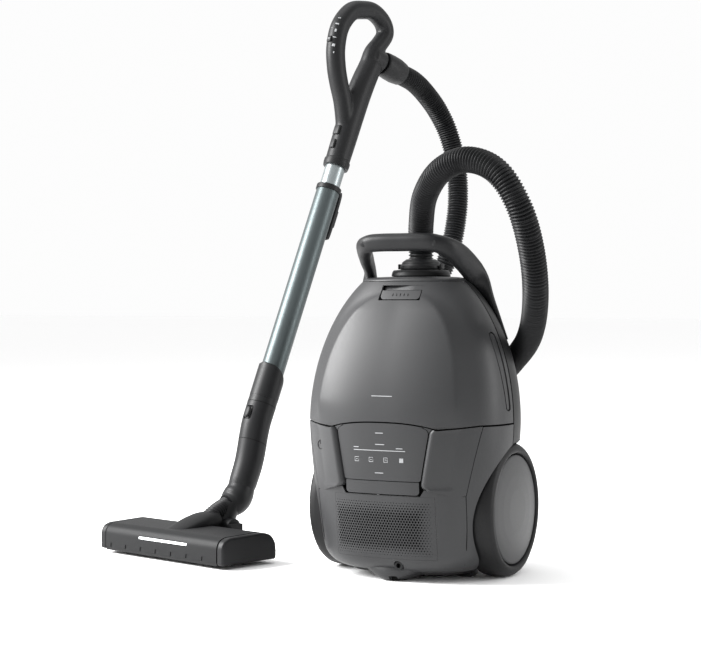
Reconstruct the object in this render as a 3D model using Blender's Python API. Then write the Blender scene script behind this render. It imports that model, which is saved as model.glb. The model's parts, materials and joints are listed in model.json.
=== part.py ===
"""Canister vacuum cleaner parked on its tail, with its hose, telescopic wand and powered floor head.

The canister's lid faces -Y, its wheel axle lies along X and the floor is z = 0.
The wand and floor head are built in two turned frames, stand_frame and wand_frame.
"""
import math

import bmesh
import bpy
from mathutils import Matrix, Vector

# ---- driving dimensions, in metres and degrees ----
GAP = 0.0004            # between touching pieces
PLAY = 0.0010           # beside pieces that move
SKIN = 0.003            # wall of the canister's mouldings

WAIST_Z = 0.222         # height of the widest section
CROWN = 0.236           # from the waist to the egg's virtual top
BASE_Z = 0.012
TOP_Z = 0.424
HALF_WIDTH = 0.154
CENTRE_Y = -0.024
FRONT_DEPTH = 0.111
BACK_DEPTH = 0.120
TAIL_ROUND = 0.030
SQUARENESS = 2.5        # superellipse exponent of each section

WHEEL_R = 0.096
WHEEL_Y = 0.012
WHEEL_OUT = 0.146       # outer face, from the middle plane
AXLE_R = 0.006
MOTOR_Y = -0.046

PANEL_LOW_Z = 0.144
LID_SEAM_Z = 0.2165
GRILLE_Z = (0.034, 0.1225)
GRILLE_HALF = 0.078

HOSE_D = 0.037
TUBE_R = 0.0195
INNER_TUBE_R = 0.0170
AIR_R = 0.0150          # bore of the fittings
TUBE_TOP = 0.497        # along the wand
HANDLE_LOW = 0.5355
CUFF_PLACE = (0.0, 0.0314, 0.7507)
CUFF_TURN = math.radians(-83.1)
WAND_LEAN = 23.6
STAND_TURN = -16.0
STAND_PLACE = (-0.377, -0.048, 0.0)
WAND_PLACE = (0.0, 0.117, 0.130)

HEAD_HALF = 0.1425      # floor head
HEAD_DEEP = 0.055
HEAD_TALL = 0.046
ROLLER_X = 0.095
ROLLER_Y = 0.038

# The hose, from the canister to the wand's cuff, as it hangs.
HOSE_ROUTE = [
    (0.000, 0.000, 0.4575), (0.001, -0.002, 0.478), (0.009, -0.019, 0.508), (0.031, -0.052, 0.547),
    (0.072, -0.087, 0.579), (0.121, -0.106, 0.591), (0.169, -0.115, 0.572), (0.198, -0.105, 0.522), (0.204, -0.074, 0.458),
    (0.193, -0.035, 0.394), (0.155, 0.036, 0.342), (0.087, 0.135, 0.301), (0.007, 0.251, 0.261),
    (-0.072, 0.369, 0.192), (-0.157, 0.460, 0.131), (-0.243, 0.505, 0.106), (-0.307, 0.505, 0.143),
    (-0.328, 0.506, 0.222), (-0.296, 0.511, 0.315), (-0.240, 0.518, 0.396), (-0.199, 0.528, 0.464),
    (-0.186, 0.546, 0.549), (-0.190, 0.555, 0.630), (-0.202, 0.548, 0.691), (-0.214, 0.527, 0.733),
    (-0.224, 0.495, 0.7625), (-0.231, 0.460, 0.7808), (-0.2405, 0.4285, 0.7905),
]

FINISHES = {
    "body_grey": ((0.17, 0.17, 0.175), 0.42, 0.0),
    "dark_grey": ((0.035, 0.036, 0.038), 0.40, 0.0),
    "black_plastic": ((0.015, 0.015, 0.016), 0.45, 0.0),
    "tyre_black": ((0.020, 0.020, 0.021), 0.60, 0.0),
    "cap_grey": ((0.15, 0.15, 0.155), 0.35, 0.0),
    "hose_black": ((0.018, 0.018, 0.019), 0.50, 0.0),
    "tube_metal": ((0.30, 0.33, 0.33), 0.32, 0.9),
    "steel": ((0.55, 0.55, 0.56), 0.30, 1.0),
    "light_lens": ((0.90, 0.95, 1.00), 0.20, 0.0),
    "filter_white": ((0.75, 0.75, 0.72), 0.90, 0.0),
    "bag_fabric": ((0.70, 0.72, 0.74), 0.95, 0.0),
    "seal_rubber": ((0.05, 0.05, 0.05), 0.80, 0.0),
    "board_green": ((0.03, 0.20, 0.08), 0.50, 0.0),
    "bristle_dark": ((0.03, 0.03, 0.035), 0.90, 0.0),
}


# ---- general helpers ----
def finish(name):
    material = bpy.data.materials.get(name)
    if material is None:
        colour, roughness, metallic = FINISHES[name]
        material = bpy.data.materials.new(name)
        material.use_nodes = True
        shader = material.node_tree.nodes["Principled BSDF"]
        shader.inputs["Base Color"].default_value = (*colour, 1.0)
        shader.inputs["Roughness"].default_value = roughness
        shader.inputs["Metallic"].default_value = metallic
    return material


def add_object(name, data, material, parent=None):
    obj = bpy.data.objects.new(name, data)
    bpy.context.collection.objects.link(obj)
    obj.data.materials.append(finish(material))
    obj.parent = parent
    return obj


def from_bmesh(name, bm, material, parent=None):
    bmesh.ops.recalc_face_normals(bm, faces=bm.faces)
    mesh = bpy.data.meshes.new(name)
    bm.to_mesh(mesh)
    bm.free()
    mesh.shade_smooth()
    mesh.set_sharp_from_angle(angle=math.radians(35))
    return add_object(name, mesh, material, parent)


def pivot(name, place, parent=None, turn=(0, 0, 0)):
    """An empty on a joint's axis, or at a frame's origin."""
    empty = bpy.data.objects.new(name, None)
    empty.empty_display_size = 0.02
    empty.location = place
    empty.rotation_euler = [math.radians(a) for a in turn]
    empty.parent = parent
    bpy.context.collection.objects.link(empty)
    return empty


def hang_on(empty, *objects):
    """Parents objects to an empty and leaves them where they are."""
    bpy.context.view_layer.update()
    for obj in objects:
        place = obj.matrix_world.copy()
        obj.parent = empty
        obj.matrix_parent_inverse = empty.matrix_world.inverted()
        obj.matrix_world = place


def box(name, low, high, material, parent=None, round_off=0.0):
    bm = bmesh.new()
    bmesh.ops.create_cube(bm, size=1.0)
    size = Vector(high) - Vector(low)
    middle = (Vector(high) + Vector(low)) / 2
    bmesh.ops.scale(bm, vec=size, verts=bm.verts)
    bmesh.ops.translate(bm, vec=middle, verts=bm.verts)
    if round_off:
        bmesh.ops.bevel(bm, geom=bm.edges[:], offset=round_off, segments=2, affect="EDGES")
    return from_bmesh(name, bm, material, parent)


def turned(name, profile, material, parent=None, axis="Z", centre=(0, 0, 0), steps=24):
    """Spins a closed (radius, height) profile about an axis."""
    bm = bmesh.new()
    points = [bm.verts.new((r, 0.0, h)) for r, h in profile]
    edges = [bm.edges.new((a, b)) for a, b in zip(points, points[1:])]
    if profile[0][0] > 0.0:
        edges.append(bm.edges.new((points[-1], points[0])))
    bmesh.ops.spin(bm, geom=points + edges, axis=(0, 0, 1), cent=(0, 0, 0),
                   angle=math.tau, steps=steps, use_merge=True)
    bmesh.ops.remove_doubles(bm, verts=bm.verts, dist=1e-6)
    turn = {"Z": Matrix(), "X": Matrix.Rotation(math.pi / 2, 4, "Y"),
            "Y": Matrix.Rotation(-math.pi / 2, 4, "X")}[axis]
    bm.transform(Matrix.Translation(centre) @ turn)
    return from_bmesh(name, bm, material, parent)


def cylinder(name, radius, low, high, material, parent=None, axis="Z", centre=(0, 0, 0), steps=20):
    profile = [(0.0, low), (radius, low), (radius, high), (0.0, high)]
    return turned(name, profile, material, parent, axis, centre, steps)


def ring(name, inner, outer, low, high, material, parent=None, axis="Z", centre=(0, 0, 0), steps=24):
    profile = [(inner, low), (outer, low), (outer, high), (inner, high)]
    return turned(name, profile, material, parent, axis, centre, steps)


def prism(name, outline, low, high, material, parent=None, axis="X"):
    """Extrudes an outline: (y, z) pairs along X, (x, z) along Y, or (x, y) along Z."""
    place = {"X": lambda a, b, t: (t, a, b), "Y": lambda a, b, t: (a, t, b), "Z": lambda a, b, t: (a, b, t)}[axis]
    bm = bmesh.new()
    face = bm.faces.new([bm.verts.new(place(a, b, low)) for a, b in outline])
    made = bmesh.ops.extrude_face_region(bm, geom=[face])["geom"]
    moved = [v for v in made if isinstance(v, bmesh.types.BMVert)]
    bmesh.ops.translate(bm, vec=place(0.0, 0.0, high - low), verts=moved)
    return from_bmesh(name, bm, material, parent)


def smooth_points(route, per_span):
    """Points on a Catmull-Rom curve through the route's own points."""
    knots = [Vector(p) for p in route]
    knots = [2 * knots[0] - knots[1]] + knots + [2 * knots[-1] - knots[-2]]
    points = []
    for a, b, c, d in zip(knots, knots[1:], knots[2:], knots[3:]):
        for i in range(per_span):
            t = i / per_span
            points.append(0.5 * (2 * b + (c - a) * t + (2 * a - 5 * b + 4 * c - d) * t * t
                                 + (3 * b - a - 3 * c + d) * t ** 3))
    return points + [knots[-2]]


def tube(name, points, radius, material, parent=None, sides=2):
    curve = bpy.data.curves.new(name, "CURVE")
    curve.dimensions = "3D"
    curve.bevel_depth = radius
    curve.bevel_resolution = sides
    curve.use_fill_caps = True
    spline = curve.splines.new("POLY")
    spline.points.add(len(points) - 1)
    for point, place in zip(spline.points, points):
        point.co = (*place, 1.0)
    return add_object(name, curve, material, parent)


def pipe(name, points, outer, inner, material, parent=None, sides=10):
    """A hollow tube along a line of points."""
    bm = bmesh.new()
    across = Vector((1, 0.01, 0.02))
    layers = {outer: [], inner: []}
    for i, place in enumerate(points):
        ahead = (points[min(i + 1, len(points) - 1)] - points[max(i - 1, 0)]).normalized()
        across = (across - across.dot(ahead) * ahead).normalized()
        up = ahead.cross(across)
        for radius, rings in layers.items():
            turns = [math.tau * k / sides for k in range(sides)]
            rings.append([bm.verts.new(place + radius * (math.cos(a) * across + math.sin(a) * up)) for a in turns])
    strips = [pair for rings in layers.values() for pair in zip(rings, rings[1:])]
    strips += [(layers[outer][end], layers[inner][end]) for end in (0, -1)]
    for a, b in strips:
        for k in range(sides):
            bm.faces.new((a[k - 1], a[k], b[k], b[k - 1]))
    return from_bmesh(name, bm, material, parent)


def to_mesh(curve_object):
    """Replaces a curve object's data by its mesh, so that Booleans can use it."""
    name, material = curve_object.name, curve_object.data.materials[0].name
    parent = curve_object.parent
    mesh = bpy.data.meshes.new_from_object(curve_object.evaluated_get(bpy.context.evaluated_depsgraph_get()))
    bpy.data.objects.remove(curve_object)
    bm = bmesh.new()
    bm.from_mesh(mesh)
    bmesh.ops.remove_doubles(bm, verts=bm.verts, dist=1e-6)
    return from_bmesh(name, bm, material, parent)


def combine(target, other, operation):
    modifier = target.modifiers.new(f"{operation.lower()}_{other.name}"[:60], "BOOLEAN")
    modifier.operation = operation
    modifier.object = other
    other.hide_render = True
    other.display_type = "WIRE"


def cut(target, *cutters):
    for cutter in cutters:
        combine(target, cutter, "DIFFERENCE")


def join(target, *others):
    for other in others:
        combine(target, other, "UNION")


# ---- the canister's egg-shaped surface ----
def tail_inset(z):
    if z > BASE_Z + TAIL_ROUND:
        return 0.0
    drop = (BASE_Z + TAIL_ROUND - z) / TAIL_ROUND
    return TAIL_ROUND * (1 - math.sqrt(max(0.0, 1 - drop * drop)))


def half_width(z):
    if z >= WAIST_Z:
        return HALF_WIDTH * math.sqrt(1 - ((z - WAIST_Z) / CROWN) ** 2)
    below = (WAIST_Z - z) / (WAIST_Z - BASE_Z)
    return HALF_WIDTH - 0.030 * below ** 1.5 - tail_inset(z)


def front_depth(z):
    if z >= WAIST_Z:
        return FRONT_DEPTH * (1 - ((z - WAIST_Z) / CROWN) ** 1.6) ** 0.8
    below = (WAIST_Z - z) / (WAIST_Z - BASE_Z)
    return FRONT_DEPTH - 0.014 * below ** 2 - tail_inset(z)


def back_depth(z):
    if z >= WAIST_Z:
        return BACK_DEPTH * (1 - ((z - WAIST_Z) / CROWN) ** 2.5) ** 0.6
    return BACK_DEPTH - tail_inset(z)


def on_body(angle, z, inset=0.0):
    """A point of the surface: angle is 0 at the front and 90 at the right side."""
    s, c = math.sin(math.radians(angle)), math.cos(math.radians(angle))
    deep = front_depth(z) if c >= 0 else back_depth(z)
    power = 2 / SQUARENESS
    x = (half_width(z) - inset) * math.copysign(abs(s) ** power, s)
    y = CENTRE_Y - (deep - inset) * math.copysign(abs(c) ** power, c)
    return Vector((x, y, z))


def angle_at(x, z):
    """The front angle at which the surface is x wide at height z."""
    return math.copysign(math.degrees(math.asin((abs(x) / half_width(z)) ** (SQUARENESS / 2))), x)


def lid_seam(angle):
    """Height of the lid's lower edge: arched over the panel, rising outwards over the pedals."""
    middle = min(abs(angle) / 27, 1.0)
    outer = min(max((abs(angle) - 27) / 30, 0.0), 1.0)
    return LID_SEAM_Z + 0.009 * (1 - middle * middle) + 0.0055 * outer


def grid_place(left, right, low, high, across, up):
    """The angle and height at a share across and up a moulding whose edges depend on each other."""
    angle, z = 0.0, (low(0) + high(0)) / 2
    for _ in range(6):
        angle = left(z) + across * (right(z) - left(z))
        z = low(angle) + up * (high(angle) - low(angle))
    return angle, z


def skin(name, left, right, low, high, material, columns=16, rows=8, inset=0.0, wall=SKIN):
    """A moulding that follows the body, between angles left(z) and right(z) and heights low(a) and high(a)."""
    bm = bmesh.new()
    layers = []
    for depth in (inset, inset + wall):
        grid = []
        for row in range(rows + 1):
            line = []
            for column in range(columns + 1):
                angle, z = grid_place(left, right, low, high, column / columns, row / rows)
                line.append(bm.verts.new(on_body(angle, z, depth)))
            grid.append(line)
        layers.append(grid)
    for grid in layers:
        for below, above in zip(grid, grid[1:]):
            for i in range(columns):
                bm.faces.new((below[i], below[i + 1], above[i + 1], above[i]))
    outer, inner = ([g[0] + [row[-1] for row in g[1:]] + g[-1][-2::-1] + [row[0] for row in g[-2:0:-1]]
                     for g in layers])
    count = len(outer)
    for i in range(count):
        j = (i + 1) % count
        bm.faces.new((outer[i], outer[j], inner[j], inner[i]))
    return from_bmesh(name, bm, material)


def body_slice(name, low, high, inset, material, steps=36):
    """A flat plate with the body's own outline, inset from its walls."""
    outline = [on_body(360 * i / steps, low, inset)[:2] for i in range(steps)]
    return prism(name, outline, low, high, material, axis="Z")


# ---- canister shells ----
def canister_shells():
    seam_z = PANEL_LOW_Z - 0.0205
    casing = skin("lower_casing", lambda z: -91, lambda z: 91, lambda a: 0.0135, lambda a: 0.2205,
                  "body_grey", columns=28, rows=10)
    back = skin("rear_shell", lambda z: 91.6, lambda z: 268.4, lambda a: 0.0135, lambda a: TOP_Z,
                "dark_grey", columns=20, rows=14)
    for side in (-1, 1):
        well = cylinder(f"well_cutter_{side}", WHEEL_R + 0.0045, side * 0.0925, side * 0.20, "tyre_black",
                        axis="X", centre=(0, WHEEL_Y, WHEEL_R), steps=36)
        cut(casing, well)
        cut(back, well)
    front = [(-0.1163, seam_z), (0.1163, seam_z), (0.1412, 0.24), (-0.1412, 0.24)]
    cut(casing, prism("front_cutter", front, -0.20, CENTRE_Y - 0.005, "body_grey", axis="Y"))
    low, high = GRILLE_Z
    door = [(-GRILLE_HALF - PLAY, low - PLAY), (GRILLE_HALF + PLAY, low - PLAY),
            (GRILLE_HALF + PLAY, high + 0.01), (-GRILLE_HALF - PLAY, high + 0.01)]
    cut(casing, prism("door_cutter", door, -0.20, -0.06, "body_grey", axis="Y"))

    nose_cover()
    shelf = body_slice("compartment_floor", 0.2060, 0.2090, 0.0085, "dark_grey")
    cut(shelf, cylinder("shelf_cutter", 0.030, 0.19, 0.22, "dark_grey", centre=(0, -0.035, 0)))


def nose_cover():
    """The dark shoulder between the body's top edge and the hose socket."""
    steps, socket = 28, 0.0446
    bm = bmesh.new()
    rings = []
    shapes = [(0.0, TOP_Z + 0.0008), (0.45, TOP_Z + 0.0052), (1.0, TOP_Z + 0.0068),
              (1.0, TOP_Z + 0.0040), (0.45, TOP_Z + 0.0024), (0.02, TOP_Z - 0.0010 + 0.0016)]
    for blend, z in shapes:
        line = []
        for i in range(steps):
            edge = on_body(360 * i / steps, TOP_Z, 0.001)
            centre = Vector((0, -0.006, 0))
            outward = Vector((edge.x, edge.y, 0)) - centre
            inner = centre + outward.normalized() * socket if blend < 1 else outward.normalized() * socket
            line.append(bm.verts.new((*(Vector((edge.x, edge.y)).lerp(inner.xy, blend)), z)))
        rings.append(line)
    for a, b in zip(rings, rings[1:] + rings[:1]):
        for i in range(steps):
            j = (i + 1) % steps
            bm.faces.new((a[i], a[j], b[j], b[i]))
    from_bmesh("nose_cover", bm, "dark_grey")


def lid():
    opening = lambda z: 90.6
    cover = skin("bag_lid", lambda z: -opening(z), opening, lambda a: lid_seam(a) + PLAY, lambda a: TOP_Z - 0.0004,
                 "body_grey", columns=36, rows=11)
    notch = [(-0.0325, 0.3965), (0.0325, 0.3965), (0.0325, 0.4120), (-0.0325, 0.4120)]
    cut(cover, prism("latch_cutter", notch, -0.2, -0.03, "body_grey", axis="Y"))
    tab = skin("lid_latch", lambda z: angle_at(-0.0312, z), lambda z: angle_at(0.0312, z),
               lambda a: 0.3978, lambda a: 0.4107, "body_grey", columns=8, rows=3, inset=0.0006, wall=0.0026)
    hinge = pivot("lid_hinge", (0, -0.1365, 0.2222))
    hang_on(hinge, cover, tab)
    skin("lid_seal", lambda z: -86, lambda z: 86, lambda a: lid_seam(a) + 0.0015, lambda a: lid_seam(a) + 0.0055,
         "seal_rubber", columns=32, rows=1, inset=0.0036, wall=0.0026)


def panel_side(z):
    """Half angle of the control panel at height z."""
    share = (z - PANEL_LOW_Z) / (LID_SEAM_Z - PANEL_LOW_Z)
    return angle_at(0.060 + 0.013 * share, z)


def front_panels():
    edge = 0.35
    skin("control_panel", lambda z: edge - panel_side(z), lambda z: panel_side(z) - edge,
         lambda a: PANEL_LOW_Z, lambda a: lid_seam(a) - PLAY, "body_grey", columns=18, rows=4)
    outer = lambda z: angle_at(0.115 + 0.021 * (z - 0.124) / 0.098, z)
    low = 0.1250
    high = lambda a: lid_seam(a) - PLAY
    left = skin("power_pedal", lambda z: -outer(z), lambda z: -panel_side(z) - edge, lambda a: low, high,
                "body_grey", columns=8, rows=5)
    right = skin("rewind_pedal", lambda z: panel_side(z) + edge, outer, lambda a: low, high,
                 "body_grey", columns=8, rows=5)
    hang_on(pivot("power_slide", (-0.095, -0.12, 0.170)), left)
    hang_on(pivot("rewind_slide", (0.095, -0.12, 0.170)), right)
    flap_side = lambda z: panel_side(PANEL_LOW_Z) - 1.8
    flap = skin("door_latch", lambda z: -flap_side(z), flap_side, lambda a: 0.1250, lambda a: PANEL_LOW_Z - PLAY,
                "body_grey", columns=10, rows=3)
    hang_on(pivot("door_latch_slide", (0, -0.13, 0.134)), flap)
    low, high = GRILLE_Z
    door = skin("exhaust_door", lambda z: angle_at(-GRILLE_HALF, z), lambda z: angle_at(GRILLE_HALF, z),
                lambda a: low, lambda a: high, "body_grey", columns=12, rows=5)
    hang_on(pivot("exhaust_door_hinge", (0, -0.1245, low - 0.0005)), door)


def carry_handle():
    route = [(-0.090, 0.034, 0.4180), (-0.082, -0.010, 0.4430), (-0.072, -0.045, 0.4660), (-0.060, -0.064, 0.4770),
             (-0.040, -0.070, 0.4790), (0.0, -0.071, 0.4795), (0.040, -0.070, 0.4790), (0.060, -0.064, 0.4770),
             (0.072, -0.045, 0.4660), (0.082, -0.010, 0.4430), (0.090, 0.034, 0.4180)]
    tube("carry_handle", smooth_points(route, 2), 0.0115, "black_plastic", sides=2)


def foot_and_outlet():
    foot = box("parking_foot", (-0.034, -0.106, 0.0), (0.034, 0.020, 0.0086), "dark_grey", round_off=0.0015)
    heel = [on_body(angle, BASE_Z, 0.004)[:2] for angle in range(90, 271, 9)]
    join(foot, body_slice("tail_plate", 0.0080, BASE_Z, 0.002, "dark_grey"),
         prism("heel", heel, 0.0, 0.0090, "dark_grey", axis="Z"))
    casing = bpy.data.objects["lower_casing"]
    hole = cylinder("cord_hole_cutter", 0.0070, -0.160, -0.080, "dark_grey", axis="Y", centre=(0.020, 0, 0.0240))
    cut(casing, hole)
    ring("cord_outlet_bush", 0.0034, 0.0064, -0.1250, -0.1050, "black_plastic", axis="Y",
         centre=(0.020, 0, 0.0240), steps=20)


# ---- hose fittings on the canister ----
def hose_fittings():
    socket = [(0.0225, 0.4165), (0.0300, 0.4165), (0.0300, 0.4250), (0.0350, 0.4250), (0.0350, 0.4320),
              (0.0440, 0.4320), (0.0440, 0.4355), (0.0425, 0.4375), (0.0335, 0.4400), (0.0225, 0.4400)]
    turned("hose_socket", socket, "dark_grey")
    connector = [(0.0150, 0.4200), (0.0219, 0.4200), (0.0219, 0.4405), (0.0305, 0.4405), (0.0310, 0.4430),
                 (0.0285, 0.4520), (0.0210, 0.4565), (0.0150, 0.4565)]
    body = turned("hose_connector", connector, "black_plastic")
    swivel = pivot("hose_swivel", (0, 0, 0.44))
    hang_on(swivel, body)
    for word, side in (("left", -1), ("right", 1)):
        low, high = sorted((side * 0.0320, side * 0.0350))
        key = box(f"connector_latch_{word}", (low, -0.006, 0.4418), (high, 0.006, 0.4495), "black_plastic",
                  round_off=0.0006)
        hang_on(swivel, key)
    pipe("hose", smooth_points(HOSE_ROUTE, 3), HOSE_D / 2, HOSE_D / 2 - 0.002, "hose_black")


# ---- inside the canister ----
def bag_room():
    bm = bmesh.new()
    bmesh.ops.create_uvsphere(bm, u_segments=16, v_segments=10, radius=1.0)
    bmesh.ops.scale(bm, vec=(0.096, 0.062, 0.076), verts=bm.verts)
    bmesh.ops.translate(bm, vec=(0, -0.012, 0.2980), verts=bm.verts)
    from_bmesh("dust_bag", bm, "bag_fabric")
    ring("bag_holder", 0.0235, 0.0400, 0.3860, 0.3890, "black_plastic", centre=(0, -0.004, 0))


def motor_room():
    middle = (0.0, MOTOR_Y, 0.0)
    housing = [(0.0, 0.0560), (0.050, 0.0560), (0.050, 0.1500), (0.030, 0.1560), (0.030, 0.1530),
               (0.047, 0.1475), (0.047, 0.0590), (0.0, 0.0590)]
    turned("motor_housing", housing, "steel", centre=middle, steps=28)
    rotor = [(0.0, 0.0650), (0.020, 0.0650), (0.020, 0.1050), (0.004, 0.1070), (0.004, 0.1200),
             (0.042, 0.1200), (0.042, 0.1260), (0.014, 0.1360), (0.004, 0.1400), (0.0, 0.1400)]
    fan = turned("motor_fan", rotor, "steel", centre=middle, steps=28)
    hang_on(pivot("motor_shaft", (0, MOTOR_Y, 0.10)), fan)
    reel_middle = (0, 0, 0.110)
    spool = [(0.0048, 0.0360), (0.072, 0.0360), (0.072, 0.0380), (0.030, 0.0380), (0.030, 0.0640),
             (0.072, 0.0640), (0.072, 0.0660), (0.0048, 0.0660)]
    reel = turned("cord_reel", spool, "black_plastic", axis="Y", centre=reel_middle)
    hang_on(pivot("cord_reel_axis", (0, 0.050, 0.110)), reel)
    ring("rewind_spring", 0.0070, 0.0240, 0.0680, 0.0745, "steel", axis="Y", centre=reel_middle)
    box("circuit_board", (-0.045, -0.1240, 0.1500), (0.045, -0.1224, 0.2000), "board_green")
    box("exhaust_filter", (-0.058, -0.1130, 0.0400), (0.058, -0.0985, 0.1180), "filter_white", round_off=0.001)


# ---- wheels ----
def big_wheels():
    for word, side in (("left", -1), ("right", 1)):
        centre = (0, WHEEL_Y, WHEEL_R)
        rim = [(0.079, 0.1005), (0.090, 0.1005), (0.0945, 0.1040), (WHEEL_R, 0.1100), (WHEEL_R, 0.1350),
               (0.0945, 0.1400), (0.0900, 0.1440), (0.0835, WHEEL_OUT), (0.0810, 0.1445), (0.0790, 0.1430)]
        hub = [(0.0, 0.1400), (AXLE_R + GAP, 0.1400), (AXLE_R + GAP, 0.1005), (0.0120, 0.1005), (0.0120, 0.1385),
               (0.0745, 0.1385), (0.0745, 0.1005), (0.0785, 0.1005), (0.0785, 0.1425), (0.070, 0.1445),
               (0.045, 0.1470), (0.0, 0.1480)]
        tyre = turned(f"tyre_{word}", [(r, side * h) for r, h in rim], "tyre_black", axis="X",
                      centre=centre, steps=36)
        wheel = turned(f"wheel_{word}", [(r, side * h) for r, h in hub], "cap_grey", axis="X",
                       centre=centre, steps=36)
        hang_on(pivot(f"wheel_axis_{word}", centre), tyre, wheel)
    cylinder("wheel_axle", AXLE_R, -0.1395, 0.1395, "steel", axis="X", centre=(0, WHEEL_Y, WHEEL_R))


def castor():
    """The small swivelling wheel under the nose, which touches the floor when the cleaner lies flat."""
    outline = [(-0.0135, 0.0765), (0.0135, 0.0765), (0.0135, 0.0985), (0.0105, 0.0985), (0.0105, 0.0790),
               (-0.0105, 0.0790), (-0.0105, 0.0985), (-0.0135, 0.0985)]
    fork = prism("castor_fork", outline, 0.3630, 0.3930, "black_plastic", axis="Z")
    swivel = pivot("castor_swivel", (0, 0.0775, 0.3850))
    axle = (0, 0.0940, 0.3720)
    join(fork, cylinder("castor_pin", 0.0020, -0.0120, 0.0120, "steel", axis="X", centre=axle, steps=12),
         cylinder("castor_stem", 0.0050, 0.0685, 0.0780, "black_plastic", axis="Y", centre=(0, 0, 0.3850)))
    hang_on(swivel, fork)
    wheel = ring("castor_wheel", 0.0026, 0.0140, -0.0085, 0.0085, "tyre_black", axis="X", centre=axle, steps=24)
    hang_on(pivot("castor_axle", axle), wheel)


# ---- wand ----
def wand(frame):
    lower = [(AIR_R, -0.0297), (0.0215, -0.0297), (0.0235, 0.0), (0.0235, 0.1660), (0.0199, 0.1660),
             (0.0199, 0.1000), (AIR_R, 0.1000)]
    connector = turned("lower_connector", lower, "black_plastic", frame)
    cut(connector, box("button_pocket", (-0.0075, -0.0300, 0.0750), (0.0075, -0.0213, 0.0970),
                       "black_plastic", frame))
    button = box("connector_button", (-0.0065, -0.0275, 0.0760), (0.0065, -0.0241, 0.0960), "black_plastic", frame,
                 round_off=0.001)
    hang_on(pivot("connector_button_slide", (0, -0.024, 0.086), frame), button)
    ring("outer_tube", TUBE_R - 0.0015, TUBE_R, 0.1010, TUBE_TOP, "tube_metal", frame)
    collar = ring("tube_collar", TUBE_R + GAP, 0.0235, 0.4850, 0.4965, "black_plastic", frame)
    rail = box("collar_rail", (-0.0100, 0.0205, 0.4050), (0.0100, 0.0270, 0.4960), "black_plastic", frame,
               round_off=0.0015)
    join(collar, rail)
    slider = box("slide_lock", (-0.0080, 0.0275, 0.4350), (0.0080, 0.0305, 0.4650), "black_plastic", frame,
                 round_off=0.0008)
    hang_on(pivot("slide_lock_slide", (0, 0.028, 0.45), frame), slider)


def handle(frame):
    inner = ring("inner_tube", INNER_TUBE_R - 0.0012, INNER_TUBE_R, 0.2000, 0.5560, "tube_metal", frame)
    route = [(0, 0.0, HANDLE_LOW), (0, 0.0, 0.580), (0, 0.0, 0.630), (0, 0.001, 0.670), (0, 0.004, 0.705),
             (0, 0.0085, 0.735)]
    barrel = to_mesh(tube("handle_body", smooth_points(route, 2), 0.0212, "black_plastic", frame, sides=3))
    socket = cylinder("handle_bore", INNER_TUBE_R + GAP, 0.52, 0.5565, "black_plastic", frame)
    loop = [(0, -0.004, 0.600), (0, -0.024, 0.634), (0, -0.046, 0.664), (0, -0.066, 0.690), (0, -0.080, 0.719),
            (0, -0.085, 0.756), (0, -0.072, 0.791), (0, -0.048, 0.810), (0, -0.022, 0.819), (0, 0.004, 0.816),
            (0, 0.018, 0.801), (0, 0.014, 0.779), (0, 0.004, 0.745), (0, 0.002, 0.715)]
    grip = to_mesh(tube("grip_core", smooth_points(loop, 2), 0.0125, "black_plastic", frame, sides=2))
    branch = cylinder("branch_core", 0.0190, 0.0, 0.0230, "black_plastic", frame)
    branch.matrix_local = (Matrix.Translation((0, 0.0080, CUFF_PLACE[2] - 0.0028))
                           @ Matrix.Rotation(CUFF_TURN, 4, "X"))
    join(barrel, grip, branch)
    outlet = cylinder("outlet_bore", 0.0130, -0.0040, 0.0300, "black_plastic", frame)
    outlet.matrix_local = branch.matrix_local
    cut(barrel, socket, outlet,
        cylinder("air_bore", 0.0140, 0.5500, 0.7280, "black_plastic", frame, centre=(0, 0.003, 0)),
        cylinder("link_bore", 0.0090, 0.7200, 0.7500, "black_plastic", frame, centre=(0, 0.009, 0)))
    slider = box("suction_slider", (-0.0050, -0.0262, 0.5600), (0.0050, -0.0222, 0.5760), "dark_grey", frame,
                 round_off=0.0006)
    release = box("release_button", (-0.0060, -0.0268, 0.5860), (0.0060, -0.0222, 0.5985), "black_plastic", frame,
                  round_off=0.0010)
    lift = pivot("handle_slide", (0, 0, HANDLE_LOW), frame)
    hang_on(lift, inner, barrel)
    hang_on(pivot("suction_slide", (0, -0.023, 0.568), frame), slider)
    hang_on(pivot("release_slide", (0, -0.023, 0.592), frame), release)
    for number, height in enumerate((0.7200, 0.7400), start=1):
        key = box(f"key_{number}", (-0.0042, -0.1010, height), (0.0042, -0.0985, height + 0.010), "dark_grey",
                  frame,
                  round_off=0.0005)
        hang_on(pivot(f"key_slide_{number}", (0, -0.101, height), frame), key)
    cuff_shape = [(AIR_R, 0.0), (0.0205, 0.0), (0.0220, 0.008), (0.0225, 0.034), (0.0205, 0.0500), (AIR_R, 0.0500)]
    cuff = turned("hose_cuff", cuff_shape, "black_plastic", frame, steps=24)
    cuff.matrix_local = Matrix.Translation(CUFF_PLACE) @ Matrix.Rotation(CUFF_TURN, 4, "X")
    return cuff


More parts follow.
